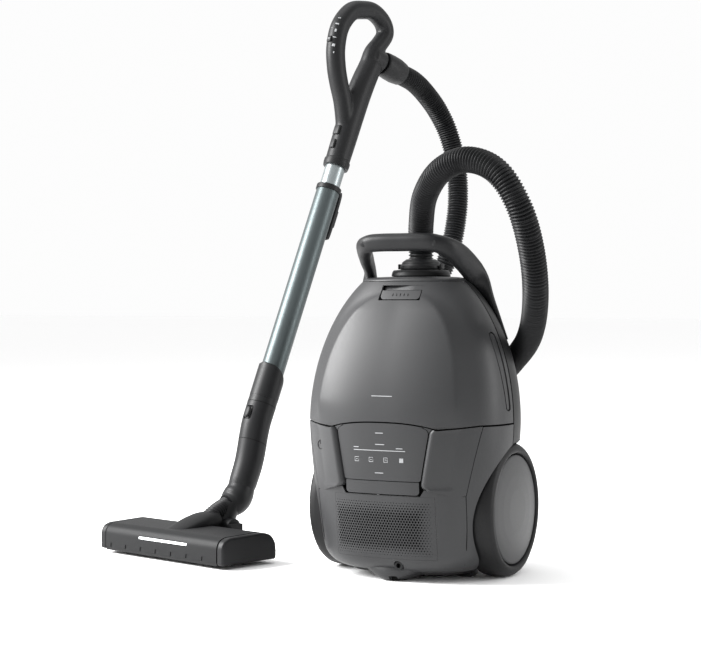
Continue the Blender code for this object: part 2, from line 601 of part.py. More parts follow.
# ---- neck and floor head ----
def neck(stand, frame):
    bend = [(0, -0.0021, -0.0611), (0, -0.0014, -0.0510), (0, -0.0004, -0.0420), (0, 0.0, -0.0312)]
    pipe("neck_elbow", smooth_points(bend, 2), 0.0205, AIR_R, "black_plastic", frame, sides=16)
    barrel = cylinder("neck_duct", 0.0150, -0.0300, 0.0300, "black_plastic", stand, axis="X",
                      centre=(0, 0.0725, 0.0400))
    duct = cylinder("duct_core", 0.0175, 0.0, 0.0385, "black_plastic", stand)
    duct.matrix_local = Matrix.Translation((0, 0.0725, 0.0400)) @ Matrix.Rotation(math.radians(-27.5), 4, "X")
    bore = cylinder("duct_bore", 0.0046, -0.05, 0.05, "black_plastic", stand, axis="X", centre=(0, 0.0725, 0.0400))
    join(barrel, duct)
    cut(barrel, bore)


def floor_head(stand):
    inner = HEAD_HALF - 0.014
    outer_line = [(-HEAD_DEEP, 0.0170), (-HEAD_DEEP, 0.0340), (-0.050, 0.0415), (-0.040, HEAD_TALL),
                  (0.030, HEAD_TALL + 0.002), (0.046, 0.0430), (HEAD_DEEP, 0.0300), (HEAD_DEEP, 0.0170)]
    inner_line = [(0.052, 0.0170), (0.052, 0.0290), (0.044, 0.0400), (0.029, HEAD_TALL - 0.001),
                  (-0.039, HEAD_TALL - 0.003), (-0.048, 0.0390), (-0.052, 0.0330), (-0.052, 0.0170)]
    prism("head_cover", outer_line + inner_line, -inner, inner, "black_plastic", stand)
    for word, side in (("left", -1), ("right", 1)):
        low, high = sorted((side * (inner + GAP), side * HEAD_HALF))
        cap = prism(f"end_cap_{word}", [(-HEAD_DEEP, 0.0060)] + outer_line[1:-1] + [(HEAD_DEEP, 0.0060)],
                    low, high, "black_plastic", stand)
        bevel = cap.modifiers.new("soft_edges", "BEVEL")
        bevel.width = 0.003
        bevel.segments = 2
        bevel.limit_method = "ANGLE"
        bevel.angle_limit = math.radians(50)
    base = box("sole_plate", (-inner, -0.054, 0.0050), (inner, 0.054, 0.0166), "dark_grey", stand)
    window = box("brush_window", (-0.120, -0.0500, -0.01), (0.120, -0.0100, 0.03), "dark_grey", stand)
    cut(base, window)
    for side in (-1, 1):
        low, high = sorted((side * 0.0320, side * 0.0410))
        join(base, box(f"ear_{side}", (low, 0.0558, 0.0060), (high, 0.0800, 0.0480), "dark_grey", stand),
             box(f"ear_root_{side}", (low, 0.0480, 0.0065), (high, 0.0780, 0.0160), "dark_grey", stand))
        cut(base, box(f"roller_slot_{side}", (side * ROLLER_X - 0.0090, ROLLER_Y - 0.0095, -0.01),
                      (side * ROLLER_X + 0.0090, ROLLER_Y + 0.0095, 0.03), "dark_grey", stand))
    join(base, cylinder("hinge_pin", 0.0041, -0.0400, 0.0400, "steel", stand, axis="X",
                        centre=(0, 0.0725, 0.0400)))
    rollers(stand)
    brush(stand)
    box("light_lens", (-0.047, -0.0578, 0.0290), (0.062, -0.0554, 0.0325), "light_lens", stand)
    pedal = box("wand_pedal", (-0.0600, 0.0570, 0.0300), (-0.0440, 0.0760, 0.0360), "dark_grey", stand,
                round_off=0.001)
    hang_on(pivot("wand_pedal_slide", (-0.052, 0.066, 0.033), stand), pedal)


def rollers(stand):
    for word, side in (("left", -1), ("right", 1)):
        centre = (side * ROLLER_X, ROLLER_Y, 0.0080)
        wheel = cylinder(f"roller_{word}", 0.0080, -0.0070, 0.0070, "tyre_black", stand, axis="X",
                         centre=centre, steps=20)
        hang_on(pivot(f"roller_axis_{word}", centre, stand), wheel)


def brush(stand):
    centre = (0, -0.030, 0.0240)
    core = [(0.0, -0.1180), (0.0060, -0.1180), (0.0060, -0.1100), (0.0165, -0.1100), (0.0165, 0.1100),
            (0.0060, 0.1100), (0.0060, 0.1180), (0.0, 0.1180)]
    roll = turned("brush_roll", core, "bristle_dark", stand, axis="X", centre=centre, steps=20)
    hang_on(pivot("brush_axis", centre, stand), roll)
    cylinder("brush_motor", 0.0110, 0.0200, 0.1080, "steel", stand, axis="X", centre=(0, 0.0250, 0.0300))
    loop = [(-0.0300 + 0.0095 * math.cos(a), 0.0240 + 0.0095 * math.sin(a))
            for a in (math.radians(100 + 180 * i / 8) for i in range(9))]
    loop += [(0.0250 + 0.0075 * math.cos(a), 0.0300 + 0.0075 * math.sin(a))
             for a in (math.radians(-80 + 180 * i / 8) for i in range(9))]
    hole = [(-0.0300 + 0.0080 * math.cos(a), 0.0240 + 0.0080 * math.sin(a))
            for a in (math.radians(100 + 180 * i / 8) for i in range(9))]
    hole += [(0.0250 + 0.0060 * math.cos(a), 0.0300 + 0.0060 * math.sin(a))
             for a in (math.radians(-80 + 180 * i / 8) for i in range(9))]
    belt = prism("drive_belt", loop, 0.1120, 0.1165, "seal_rubber", stand)
    cut(belt, prism("belt_hole", hole, 0.1100, 0.1200, "seal_rubber", stand))


def main():
    for obj in list(bpy.data.objects):
        bpy.data.objects.remove(obj)
    canister_shells()
    lid()
    front_panels()
    carry_handle()
    foot_and_outlet()
    hose_fittings()
    bag_room()
    motor_room()
    big_wheels()
    castor()
    stand = pivot("stand_frame", STAND_PLACE, turn=(0, 0, STAND_TURN))
    frame = pivot("wand_frame", WAND_PLACE, stand, turn=(-WAND_LEAN, 0, 0))
    wand(frame)
    cuff = handle(frame)
    neck(stand, frame)
    floor_head(stand)
    hang_on(pivot("cuff_swivel", CUFF_PLACE, frame), cuff)


main()
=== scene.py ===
import json
import math

import bmesh
import bpy
from mathutils import Matrix, Vector, noise


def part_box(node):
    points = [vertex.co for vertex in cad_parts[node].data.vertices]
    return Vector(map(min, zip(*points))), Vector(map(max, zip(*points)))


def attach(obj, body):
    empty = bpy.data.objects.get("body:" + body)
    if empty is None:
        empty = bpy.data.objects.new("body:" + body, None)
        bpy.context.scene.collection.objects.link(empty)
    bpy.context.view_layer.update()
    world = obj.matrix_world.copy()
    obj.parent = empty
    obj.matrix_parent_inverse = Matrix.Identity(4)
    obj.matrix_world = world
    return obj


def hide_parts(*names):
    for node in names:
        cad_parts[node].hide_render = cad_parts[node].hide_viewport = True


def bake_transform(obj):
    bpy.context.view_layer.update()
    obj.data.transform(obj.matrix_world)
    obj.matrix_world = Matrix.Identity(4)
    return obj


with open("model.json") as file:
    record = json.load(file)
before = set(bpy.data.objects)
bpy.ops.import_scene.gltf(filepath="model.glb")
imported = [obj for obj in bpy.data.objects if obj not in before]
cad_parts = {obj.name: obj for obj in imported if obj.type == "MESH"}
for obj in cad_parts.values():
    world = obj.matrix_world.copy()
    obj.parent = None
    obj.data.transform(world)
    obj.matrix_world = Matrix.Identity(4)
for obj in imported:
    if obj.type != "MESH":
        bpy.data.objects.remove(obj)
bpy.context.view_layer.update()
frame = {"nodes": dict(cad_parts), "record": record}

NODES = frame["nodes"]
SIDES = (("left", -1), ("right", 1))
# the materials and slots used most
# seam_dark colours real dark seams, and also the near-black sheets behind holes, gaps and recesses that paint
# the shade there
GREY, DARK, BLACK, SEAM_AND_SHADE = "body_grey", "dark_grey", "black_plastic", "seam_dark"

# ---- the canister's surface, as in the CAD source, in metres and degrees ----
WAIST_Z = 0.222
CROWN = 0.236
BASE_Z = 0.012
TOP_Z = 0.424
HALF_WIDTH = 0.154
CENTRE_Y = -0.024
FRONT_DEPTH = 0.111
BACK_DEPTH = 0.12
TAIL_ROUND = 0.03
SQUARENESS = 2.5
SKIN = 0.003
PLAY = 0.001

PANEL_LOW_Z = 0.144
LID_SEAM_Z = 0.2165
GRILLE_LOW, GRILLE_HIGH = 0.034, 0.1225
GRILLE_HALF = 0.078
HOLE_PITCH = 0.0042
HOLE_R = 0.0016
HOLE_DEEP = 0.0022
DOOR_GAP = 0.0002
OUTLET_PLACE = (0.02, 0.0, 0.024)

CREASE_LOW, CREASE_HEIGHT = 0.225, 0.183
CREASE_HALF = 0.1055
LID_RISE = 0.0048
GROOVE_LOW, GROOVE_HIGH = 0.24, 0.352
RECESS_HALF = 0.033
LATCH_LOW = 0.3978
LATCH_RIBS = 5
WING_RISE = 0.0058
CORNER_GAP = 0.0011

WHEEL_R = 0.096
WHEEL_Y = 0.012
WELL_GAP = 0.0045
CASTOR_PLACE = (0.0, 0.094, 0.372)
HOSE_D = 0.037
HOSE_RIDGE = 0.0047
TUBE_R = 0.0195
STAND_PLACE = (-0.377, -0.048, 0.0)
STAND_TURN = -16.0
WAND_PLACE = (0.0, 0.117, 0.13)
WAND_LEAN = 23.6
CUFF_PLACE = (0.0, 0.0314, 0.7507)
CUFF_TURN = -83.1
HEAD_HALF = 0.1425
HEAD_DEEP = 0.055
HEAD_TALL = 0.046
HINGE_PLACE = (0.0, 0.0725, 0.04)
NECK_LEAN = 27.5
BRUSH_PLACE = (0.0, -0.03, 0.024)

CAMERA_PLACE = (1.0947, -2.3274, 0.3997)
CAMERA_TURN = 27.5
CAMERA_LENS = 89.9
CAMERA_SHIFT = -0.0542
WORLD_STRENGTH = 0.98
LAMP_AIM = Vector((0, 0, 0.3))
LAMPS = (
    ("key", (-2.6, -1.3, 1.9), (1.3, 2.2), 360),
    ("top", (-0.4, 0.3, 3.0), (1.6, 1.6), 20),
    ("rim", (2.4, 0.9, 1.0), (0.4, 1.8), 30),
)
COLOUR_VARY = 0.06
GLOSS_VARY = 0.06

HOSE_ROUTE = [
    (0.000, 0.000, 0.4575), (0.001, -0.002, 0.478), (0.009, -0.019, 0.508), (0.031, -0.052, 0.547),
    (0.072, -0.087, 0.579), (0.121, -0.106, 0.591), (0.169, -0.115, 0.572), (0.198, -0.105, 0.522),
    (0.204, -0.074, 0.458), (0.193, -0.035, 0.394), (0.155, 0.036, 0.342), (0.087, 0.135, 0.301),
    (0.007, 0.251, 0.261), (-0.072, 0.369, 0.192), (-0.157, 0.46, 0.131), (-0.243, 0.505, 0.106),
    (-0.307, 0.505, 0.143), (-0.328, 0.506, 0.222), (-0.296, 0.511, 0.315), (-0.24, 0.518, 0.396),
    (-0.199, 0.528, 0.464), (-0.186, 0.546, 0.549), (-0.19, 0.555, 0.63), (-0.202, 0.548, 0.691),
    (-0.214, 0.527, 0.733), (-0.224, 0.495, 0.7625), (-0.231, 0.46, 0.7808), (-0.2405, 0.4285, 0.7905),
]


def placed(base, place, degrees, axis="X"):
    """A frame at a place in a base frame, turned about an axis."""
    return base @ Matrix.Translation(place) @ Matrix.Rotation(math.radians(degrees), 4, axis)


STAND = placed(Matrix(), STAND_PLACE, STAND_TURN, "Z")
WAND = placed(STAND, WAND_PLACE, -WAND_LEAN)
CUFF = placed(WAND, CUFF_PLACE, CUFF_TURN)


# ---- camera, floor and light ----
def set_stage():
    scene = bpy.context.scene
    camera = bpy.data.objects.new("camera", bpy.data.cameras.new("camera"))
    camera.location = CAMERA_PLACE
    camera.rotation_euler = (math.radians(90), 0, math.radians(CAMERA_TURN))
    camera.data.lens = CAMERA_LENS
    camera.data.sensor_width = 36
    camera.data.shift_y = CAMERA_SHIFT
    scene.collection.objects.link(camera)
    scene.camera = camera
    scene.view_settings.view_transform = "Standard"

    world = bpy.data.worlds.new("studio")
    world.use_nodes = True
    give(world.node_tree.nodes["Background"], {"Color": (1.0, 1.0, 1.0, 1), "Strength": WORLD_STRENGTH})
    scene.world = world

    bm = bmesh.new()
    bmesh.ops.create_grid(bm, x_segments=1, y_segments=1, size=30)
    mesh = bpy.data.meshes.new("floor")
    bm.to_mesh(mesh)
    bm.free()
    floor = bpy.data.objects.new("floor", mesh)
    floor.location.z = -0.0005
    scene.collection.objects.link(floor)
    mesh.materials.append(plain("floor_white", (0.985, 0.985, 0.985), 0.9))

    for name, place, size, power in LAMPS:
        light = bpy.data.lights.new(name, "AREA")
        light.shape = "RECTANGLE"
        light.size, light.size_y = size
        light.energy = power
        lamp = bpy.data.objects.new(name, light)
        lamp.location = place
        lamp.rotation_euler = (LAMP_AIM - Vector(place)).to_track_quat("-Z", "Y").to_euler()
        scene.collection.objects.link(lamp)


# ---- materials ----
def give(node, values):
    """Sets a shader node's inputs."""
    for name, value in values.items():
        node.inputs[name].default_value = value


def plain(name, colour, roughness, metallic=0.0):
    material = bpy.data.materials.new(name)
    material.use_nodes = True
    give(material.node_tree.nodes["Principled BSDF"],
         {"Base Color": (*colour, 1), "Roughness": roughness, "Metallic": metallic})
    return material


def surface(name, colour, roughness, grain=900.0, depth=0.1, metallic=0.0, stretch=(1, 1, 1), specular=0.5,
            sheen=0.0, coat=0.0):
    """A moulded or coated surface: fine texture, and slow changes in colour and gloss."""
    material = plain(name, colour, roughness, metallic)
    nodes, links = material.node_tree.nodes, material.node_tree.links
    shader = nodes["Principled BSDF"]
    give(shader, {"Specular IOR Level": specular, "Sheen Weight": sheen, "Coat Weight": coat})
    place = nodes.new("ShaderNodeTexCoord")
    scale = nodes.new("ShaderNodeMapping")
    give(scale, {"Scale": stretch})
    links.new(place.outputs["Object"], scale.inputs["Vector"])

    slow = nodes.new("ShaderNodeTexNoise")
    give(slow, {"Scale": 14.0, "Detail": 4})
    fine = nodes.new("ShaderNodeTexNoise")
    give(fine, {"Scale": grain, "Detail": 3})
    for texture in (slow, fine):
        links.new(scale.outputs["Vector"], texture.inputs["Vector"])

    tint = nodes.new("ShaderNodeValToRGB")
    for stop, place_on_ramp, change in zip(tint.color_ramp.elements, (0.3, 0.7), (-COLOUR_VARY, COLOUR_VARY)):
        stop.position = place_on_ramp
        stop.color = (*(min(1, c * (1 + change)) for c in colour), 1)
    links.new(slow.outputs["Fac"], tint.inputs["Fac"])
    links.new(tint.outputs["Color"], shader.inputs["Base Color"])

    gloss = nodes.new("ShaderNodeMapRange")
    give(gloss, {"From Min": 0.3, "From Max": 0.7, "To Min": roughness - GLOSS_VARY,
                 "To Max": roughness + GLOSS_VARY})
    links.new(fine.outputs["Fac"], gloss.inputs["Value"])
    links.new(gloss.outputs["Result"], shader.inputs["Roughness"])

    bump = nodes.new("ShaderNodeBump")
    give(bump, {"Strength": depth, "Distance": 0.0004})
    links.new(fine.outputs["Fac"], bump.inputs["Height"])
    links.new(bump.outputs["Normal"], shader.inputs["Normal"])
    return material


def woven(name, colour, pitch):
    """A cloth of crossing threads."""
    material = surface(name, colour, 0.9, sheen=0.3)
    nodes, links = material.node_tree.nodes, material.node_tree.links
    place = nodes["Texture Coordinate"]
    sum_of = nodes.new("ShaderNodeMath")
    for slot, axis in enumerate(("X", "Z")):
        wave = nodes.new("ShaderNodeTexWave")
        wave.bands_direction = axis
        give(wave, {"Scale": 1 / pitch / 3, "Distortion": 0.6})
        links.new(place.outputs["Object"], wave.inputs["Vector"])
        links.new(wave.outputs["Fac"], sum_of.inputs[slot])
    bump = nodes["Bump"]
    give(bump, {"Strength": 0.5})
    links.new(sum_of.outputs["Value"], bump.inputs["Height"])
    return material


def glowing(name, colour, strength):
    material = surface(name, colour, 0.3)
    give(material.node_tree.nodes["Principled BSDF"],
         {"Emission Color": (*colour, 1), "Emission Strength": strength})
    return material


MATERIALS = {}


def make_materials():
    MATERIALS.update({
        "body_grey": surface("body_satin", (0.019, 0.0193, 0.0203), 0.45, specular=0.3),
        "dark_grey": surface("shell_dark", (0.007, 0.0072, 0.0076), 0.46, specular=0.17),
        "black_plastic": surface("black_moulded", (0.006, 0.0062, 0.0068), 0.46, depth=0.16, specular=0.2),
        "tyre_black": surface("tyre_rubber", (0.005, 0.005, 0.0054), 0.52, grain=600, depth=0.25,
                              specular=0.18),
        "cap_grey": surface("cap_satin", (0.019, 0.0193, 0.0203), 0.38, specular=0.3),
        "hose_black": surface("hose_plastic", (0.005, 0.0052, 0.0057), 0.46, depth=0.12, specular=0.15),
        "tube_metal": surface("tube_anodised", (0.062, 0.074, 0.076), 0.42, grain=500, depth=0.08,
                              metallic=0.8, stretch=(1, 1, 0.04)),
        "steel": surface("steel_brushed", (0.6, 0.6, 0.61), 0.28, metallic=1.0, stretch=(1, 1, 0.05)),
        "light_lens": glowing("led_lens", (0.95, 0.98, 1.0), 0.7),
        "filter_white": woven("filter_mat", (0.72, 0.72, 0.69), 0.004),
        "bag_fabric": woven("bag_fleece", (0.68, 0.7, 0.73), 0.0016),
        "seal_rubber": surface("seal_rubber", (0.03, 0.03, 0.03), 0.75),
        "board_green": surface("board_lacquer", (0.02, 0.16, 0.06), 0.35, grain=200, coat=0.4),
        "bristle_dark": surface("bristle_fibre", (0.025, 0.025, 0.028), 0.8, depth=0.4),
        "print_light": surface("print_light", (0.22, 0.225, 0.23), 0.5),
        # near-black for real seams, and for the painted shade behind holes, gaps and recesses
        "seam_dark": surface("seam_dark", (0.003, 0.003, 0.003), 0.8, specular=0.1),
        "light_metal": surface("tube_plated", (0.24, 0.265, 0.27), 0.34, grain=500, depth=0.05, metallic=0.9,
                               stretch=(1, 1, 0.04)),
        "head_grey": surface("head_satin", (0.01, 0.0102, 0.0107), 0.52, depth=0.12, specular=0.13),
    })


# ---- pieces ----
def add(obj, body, slot, *nodes):
    """Puts a piece on its body and hides the CAD nodes that it stands for; the slot is not used."""
    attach(obj, body)
    if nodes:
        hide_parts(*nodes)


def unit(share):
    """A share kept between 0 and 1."""
    return min(1.0, max(0.0, share))


def join_rings(bm, rings, capped=True):
    """Faces between neighbouring rings of verts, and over the two ends."""
    for a, b in zip(rings, rings[1:]):
        for k in range(len(a)):
            bm.faces.new((a[k - 1], a[k], b[k], b[k - 1]))
    if capped:
        bm.faces.new(rings[0])
        bm.faces.new(rings[-1])


def close_shell(bm, grids):
    """Makes one closed shell of an outer and an inner grid of verts."""
    for grid in grids:
        for below, above in zip(grid, grid[1:]):
            for i in range(len(below) - 1):
                bm.faces.new((below[i], below[i + 1], above[i + 1], above[i]))
    outer, inner = (g[0] + [row[-1] for row in g[1:]] + g[-1][-2::-1] + [row[0] for row in g[-2:0:-1]]
                    for g in grids)
    for i in range(len(outer)):
        j = (i + 1) % len(outer)
        bm.faces.new((outer[i], outer[j], inner[j], inner[i]))


def from_bmesh(name, bm, material, sharp=40, at=None):
    bmesh.ops.recalc_face_normals(bm, faces=bm.faces)
    if at is not None:
        bm.transform(at)
    mesh = bpy.data.meshes.new(name)
    bm.to_mesh(mesh)
    bm.free()
    mesh.shade_smooth()
    mesh.set_sharp_from_angle(angle=math.radians(sharp))
    mesh.materials.append(MATERIALS[material])
    obj = bpy.data.objects.new(name, mesh)
    bpy.context.scene.collection.objects.link(obj)
    return obj


def soften(obj, width, segments=3, angle=50):
    bevel = obj.modifiers.new("soft_edges", "BEVEL")
    bevel.width = width
    bevel.segments = segments
    bevel.limit_method = "ANGLE"
    bevel.angle_limit = math.radians(angle)
    bevel.use_clamp_overlap = True
    return obj


def bake(obj):
    """Applies an object's modifiers to its mesh."""
    bpy.context.view_layer.update()
    mesh = bpy.data.meshes.new_from_object(obj.evaluated_get(bpy.context.evaluated_depsgraph_get()))
    obj.modifiers.clear()
    obj.data = mesh
    return obj


def carve(obj, *cutters, operation="DIFFERENCE"):
    for cutter in cutters:
        modifier = obj.modifiers.new("carve", "BOOLEAN")
        modifier.operation = operation
        modifier.object = cutter
    bake(obj)
    for cutter in cutters:
        bpy.data.objects.remove(cutter)
    obj.data.shade_smooth()
    obj.data.set_sharp_from_angle(angle=math.radians(40))
    return obj


def rounded(profile, radius, steps=4):
    """Rounds the corners of an open profile of (a, b) pairs with small arcs."""
    points = [Vector(p) for p in profile]
    made = [points[0]]
    for before, corner, after in zip(points, points[1:], points[2:]):
        reach = min(radius, (before - corner).length * 0.45, (after - corner).length * 0.45)
        start = corner + (before - corner).normalized() * reach
        end = corner + (after - corner).normalized() * reach
        for i in range(steps + 1):
            t = i / steps
            made.append(start * (1 - t) ** 2 + corner * 2 * t * (1 - t) + end * t * t)
    return [tuple(p) for p in made + [points[-1]]]


def turned(name, profile, material, at=Matrix(), axis="Z", steps=96, radius=0.001):
    """Spins a (radius, height) profile about an axis. It's closed unless it starts on the axis."""
    profile = rounded(profile if profile[0][0] == 0 else profile + [profile[0]], radius)
    bm = bmesh.new()
    points = [bm.verts.new((r, 0, h)) for r, h in profile]
    edges = [bm.edges.new(pair) for pair in zip(points, points[1:])]
    bmesh.ops.spin(bm, geom=points + edges, axis=(0, 0, 1), cent=(0, 0, 0), angle=math.tau, steps=steps,
                   use_merge=True)
    bmesh.ops.remove_doubles(bm, verts=bm.verts, dist=1e-6)
    turn = {"Z": Matrix(), "X": Matrix.Rotation(math.pi / 2, 4, "Y"),
            "Y": Matrix.Rotation(-math.pi / 2, 4, "X")}
    return from_bmesh(name, bm, material, at=at @ turn[axis])


def sleeve(inner, outer, low, high):
    """The profile of a plain tube, or of a rod if its inner radius is 0."""
    return [(inner, low), (outer, low), (outer, high), (inner, high)]


def smooth_points(route, per_span):
    """Points on a Catmull-Rom curve through the route's own points."""
    knots = [Vector(p) for p in route]
    knots = [2 * knots[0] - knots[1]] + knots + [2 * knots[-1] - knots[-2]]
    points = []
    for a, b, c, d in zip(knots, knots[1:], knots[2:], knots[3:]):
        for i in range(per_span):
            t = i / per_span
            points.append(0.5 * (2 * b + (c - a) * t + (2 * a - 5 * b + 4 * c - d) * t * t
                                 + (3 * b - a - 3 * c + d) * t ** 3))
    return points + [knots[-2]]


def even_points(points, step):
    """Points about a step apart along a line of points, its ends included."""
    lengths = [(b - a).length for a, b in zip(points, points[1:])]
    count = max(1, round(sum(lengths) / step))
    step = sum(lengths) / count
    made, walked, i = [points[0].copy()], 0.0, 0
    for k in range(1, count):
        while walked + lengths[i] < k * step:
            walked += lengths[i]
            i += 1
        made.append(points[i].lerp(points[i + 1], (k * step - walked) / lengths[i]))
    return made + [points[-1].copy()]


def sweep(name, points, size, material, sides=24, towards=(0.0, 0.0, 1.0), at=None, sharp=40, power=2.0,
          fixed=False):
    """A solid along a line of points. size(share) gives its half sizes towards a direction and across it."""
    points = [Vector(p) for p in points]
    bm = bmesh.new()
    rings = []
    up = Vector(towards)
    for i, place in enumerate(points):
        ahead = (points[min(i + 1, len(points) - 1)] - points[max(i - 1, 0)]).normalized()
        up = Vector(towards) if fixed else up
        up = (up - up.dot(ahead) * ahead).normalized()
        side = ahead.cross(up)
        tall, wide = size(i / (len(points) - 1))
        ring = []
        for k in range(sides):
            a = math.tau * k / sides
            c = math.copysign(abs(math.cos(a)) ** (2 / power), math.cos(a))
            s = math.copysign(abs(math.sin(a)) ** (2 / power), math.sin(a))
            ring.append(bm.verts.new(place + up * tall * c + side * wide * s))
        rings.append(ring)
    join_rings(bm, rings)
    return from_bmesh(name, bm, material, sharp=sharp, at=at)


def block(name, low, high, material, at=None, edge=0.001):
    """A moulded block with rounded edges."""
    bm = bmesh.new()
    bmesh.ops.create_cube(bm, size=1.0)
    low, high = Vector(low), Vector(high)
    bmesh.ops.scale(bm, vec=high - low, verts=bm.verts)
    bmesh.ops.translate(bm, vec=(high + low) / 2, verts=bm.verts)
    bmesh.ops.bevel(bm, geom=bm.edges[:], offset=edge, segments=3, affect="EDGES", profile=0.5)
    return from_bmesh(name, bm, material, at=at, sharp=60)


def prism(name, outline, low, high, material, axis="X", at=None):
    spot = {"X": lambda a, b, t: (t, a, b),
            "Y": lambda a, b, t: (a, t, b),
            "Z": lambda a, b, t: (a, b, t)}[axis]
    bm = bmesh.new()
    face = bm.faces.new([bm.verts.new(spot(a, b, low)) for a, b in outline])
    made = bmesh.ops.extrude_face_region(bm, geom=[face])["geom"]
    moved = [v for v in made if isinstance(v, bmesh.types.BMVert)]
    bmesh.ops.translate(bm, vec=spot(0.0, 0.0, high - low), verts=moved)
    return from_bmesh(name, bm, material, at=at)


# ---- the canister's surface ----
def tail_inset(z):
    if z > BASE_Z + TAIL_ROUND:
        return 0.0
    drop = (BASE_Z + TAIL_ROUND - z) / TAIL_ROUND
    return TAIL_ROUND * (1 - math.sqrt(max(0.0, 1 - drop * drop)))


def half_width(z):
    if z >= WAIST_Z:
        return HALF_WIDTH * math.sqrt(1 - ((z - WAIST_Z) / CROWN) ** 2)
    return HALF_WIDTH - 0.03 * ((WAIST_Z - z) / (WAIST_Z - BASE_Z)) ** 1.5 - tail_inset(z)


def front_depth(z):
    if z >= WAIST_Z:
        return FRONT_DEPTH * (1 - ((z - WAIST_Z) / CROWN) ** 1.6) ** 0.8
    return FRONT_DEPTH - 0.014 * ((WAIST_Z - z) / (WAIST_Z - BASE_Z)) ** 2 - tail_inset(z)


def back_depth(z):
    if z >= WAIST_Z:
        return BACK_DEPTH * (1 - ((z - WAIST_Z) / CROWN) ** 2.5) ** 0.6
    return BACK_DEPTH - tail_inset(z)


def on_body(angle, z, inset=0.0):
    """A point of the surface: angle is 0 at the front and 90 at the right side."""
    s, c = math.sin(math.radians(angle)), math.cos(math.radians(angle))
    deep = front_depth(z) if c >= 0 else back_depth(z)
    power = 2 / SQUARENESS
    return Vector(((half_width(z) - inset) * math.copysign(abs(s) ** power, s),
                   CENTRE_Y - (deep - inset) * math.copysign(abs(c) ** power, c), z))


def angle_at(x, z):
    """The front angle at which the surface is x wide at height z."""
    share = min(1.0, abs(x) / half_width(z))
    return math.copysign(math.degrees(math.asin(share ** (SQUARENESS / 2))), x)


def lid_seam(angle):
    middle = min(abs(angle) / 27, 1.0)
    outer = unit((abs(angle) - 27) / 30)
    return LID_SEAM_Z + 0.009 * (1 - middle * middle) + 0.0055 * outer


def crease(z):
    """Front angle of the line where the lid's face turns to its flank."""
    share = min(max((z - CREASE_LOW) / CREASE_HEIGHT, 0.0), 0.98)
    return angle_at(CREASE_HALF * (1 - share * share) ** 0.4, z)


def corner_cut(distance, radius):
    """How far an edge draws back at a distance from a rounded corner."""
    if distance >= radius:
        return 0.0
    return radius - math.sqrt(max(0.0, radius * radius - (radius - max(distance, 0.0)) ** 2))


def eased(share):
    """Shares that lie closer together towards both ends."""
    return 0.5 - 0.5 * math.cos(math.pi * share)


def centred(half):
    """The angle limits of a moulding half wide to each side. half may be a number, or change with height."""
    wide = half if callable(half) else lambda z: half
    return lambda z: -angle_at(wide(z), z), lambda z: angle_at(wide(z), z)


def flank(side, inner, outer):
    """The angle limits of a moulding on one side, between the half widths inner(z) and outer(z)."""
    left, right = (inner, outer) if side > 0 else (outer, inner)
    return lambda z: side * angle_at(left(z), z), lambda z: side * angle_at(right(z), z)


def skin(name, left, right, low, high, material, columns=60, rows=40, inset=0.0, wall=SKIN, edge=0.0008,
         relief=None):
    """A moulding that follows the body, between angles left(z) and right(z) and heights low(a) and high(a).

    Each of the four limits may also be a plain number.
    """
    left, right, low, high = (limit if callable(limit) else lambda at, limit=limit: limit
                              for limit in (left, right, low, high))
    bm = bmesh.new()
    layers = []
    for depth in (0.0, wall):
        grid = []
        for row in range(rows + 1):
            line = []
            for column in range(columns + 1):
                across, up = eased(column / columns), eased(row / rows)
                angle, z = 0.0, (low(0) + high(0)) / 2
                for _ in range(6):
                    angle = left(z) + across * (right(z) - left(z))
                    z = low(angle) + up * (high(angle) - low(angle))
                lift = relief(angle, z) if relief else 0.0
                line.append(bm.verts.new(on_body(angle, z, inset + depth - lift)))
            grid.append(line)
        layers.append(grid)
    close_shell(bm, layers)
    obj = from_bmesh(name, bm, material)
    if edge:
        soften(obj, edge)
    return obj


def body_line(name, points, radius, material, inset=0.0):
    """A fine line on the body's surface, through (x, z) points of its front."""
    places = [on_body(angle_at(x, z), z, inset) for x, z in points]
    return sweep(name, places, lambda t: (radius, radius), material, sides=8)


def stroke(name, points, radius, inset, body="canister", material="print_light"):
    """A printed line on a body-grey moulding."""
    add(body_line(name, points, radius, material, inset=inset), body, GREY)


# ---- canister ----
def lid_relief(angle, z):
    """The lid's front stands a little proud of its flanks, up to the creases."""
    fade = eased(unit((z - 0.208) / 0.05)) * unit((0.408 - z) / 0.025)
    away = crease(z) - abs(angle)
    return LID_RISE * fade * max(0.0, 1 - away / 44 if away > 0 else 1 + away / 17) ** 2


def make_lid():
    lid = skin("lid_cover", -90.6, 90.6, lambda a: lid_seam(a) + PLAY, TOP_Z - 0.0004, GREY, columns=150,
               rows=90, relief=lid_relief)
    bake(lid)
    notch = skin("notch", *centred(0.0325), 0.3965, 0.418, GREY, columns=12, rows=6, inset=-0.004, wall=0.012,
                 edge=0)
    carve(lid, notch, *[teardrop(f"groove_{side}", side, 0.0, -0.004, 0.0062) for side in (-1, 1)])
    add(lid, "lid", GREY, "bag_lid")
    for word, side in SIDES:
        add(teardrop(f"groove_floor_{word}", side, -0.0003, 0.002, 0.0012), "lid", DARK)
        add(teardrop(f"groove_island_{word}", side, 0.0022, 0.0006, 0.0016, GREY), "lid", GREY)
    make_latch()
    stroke("lid_badge", [(-0.016 + 0.004 * i, 0.262) for i in range(9)], 0.0007, 0.0, "lid")


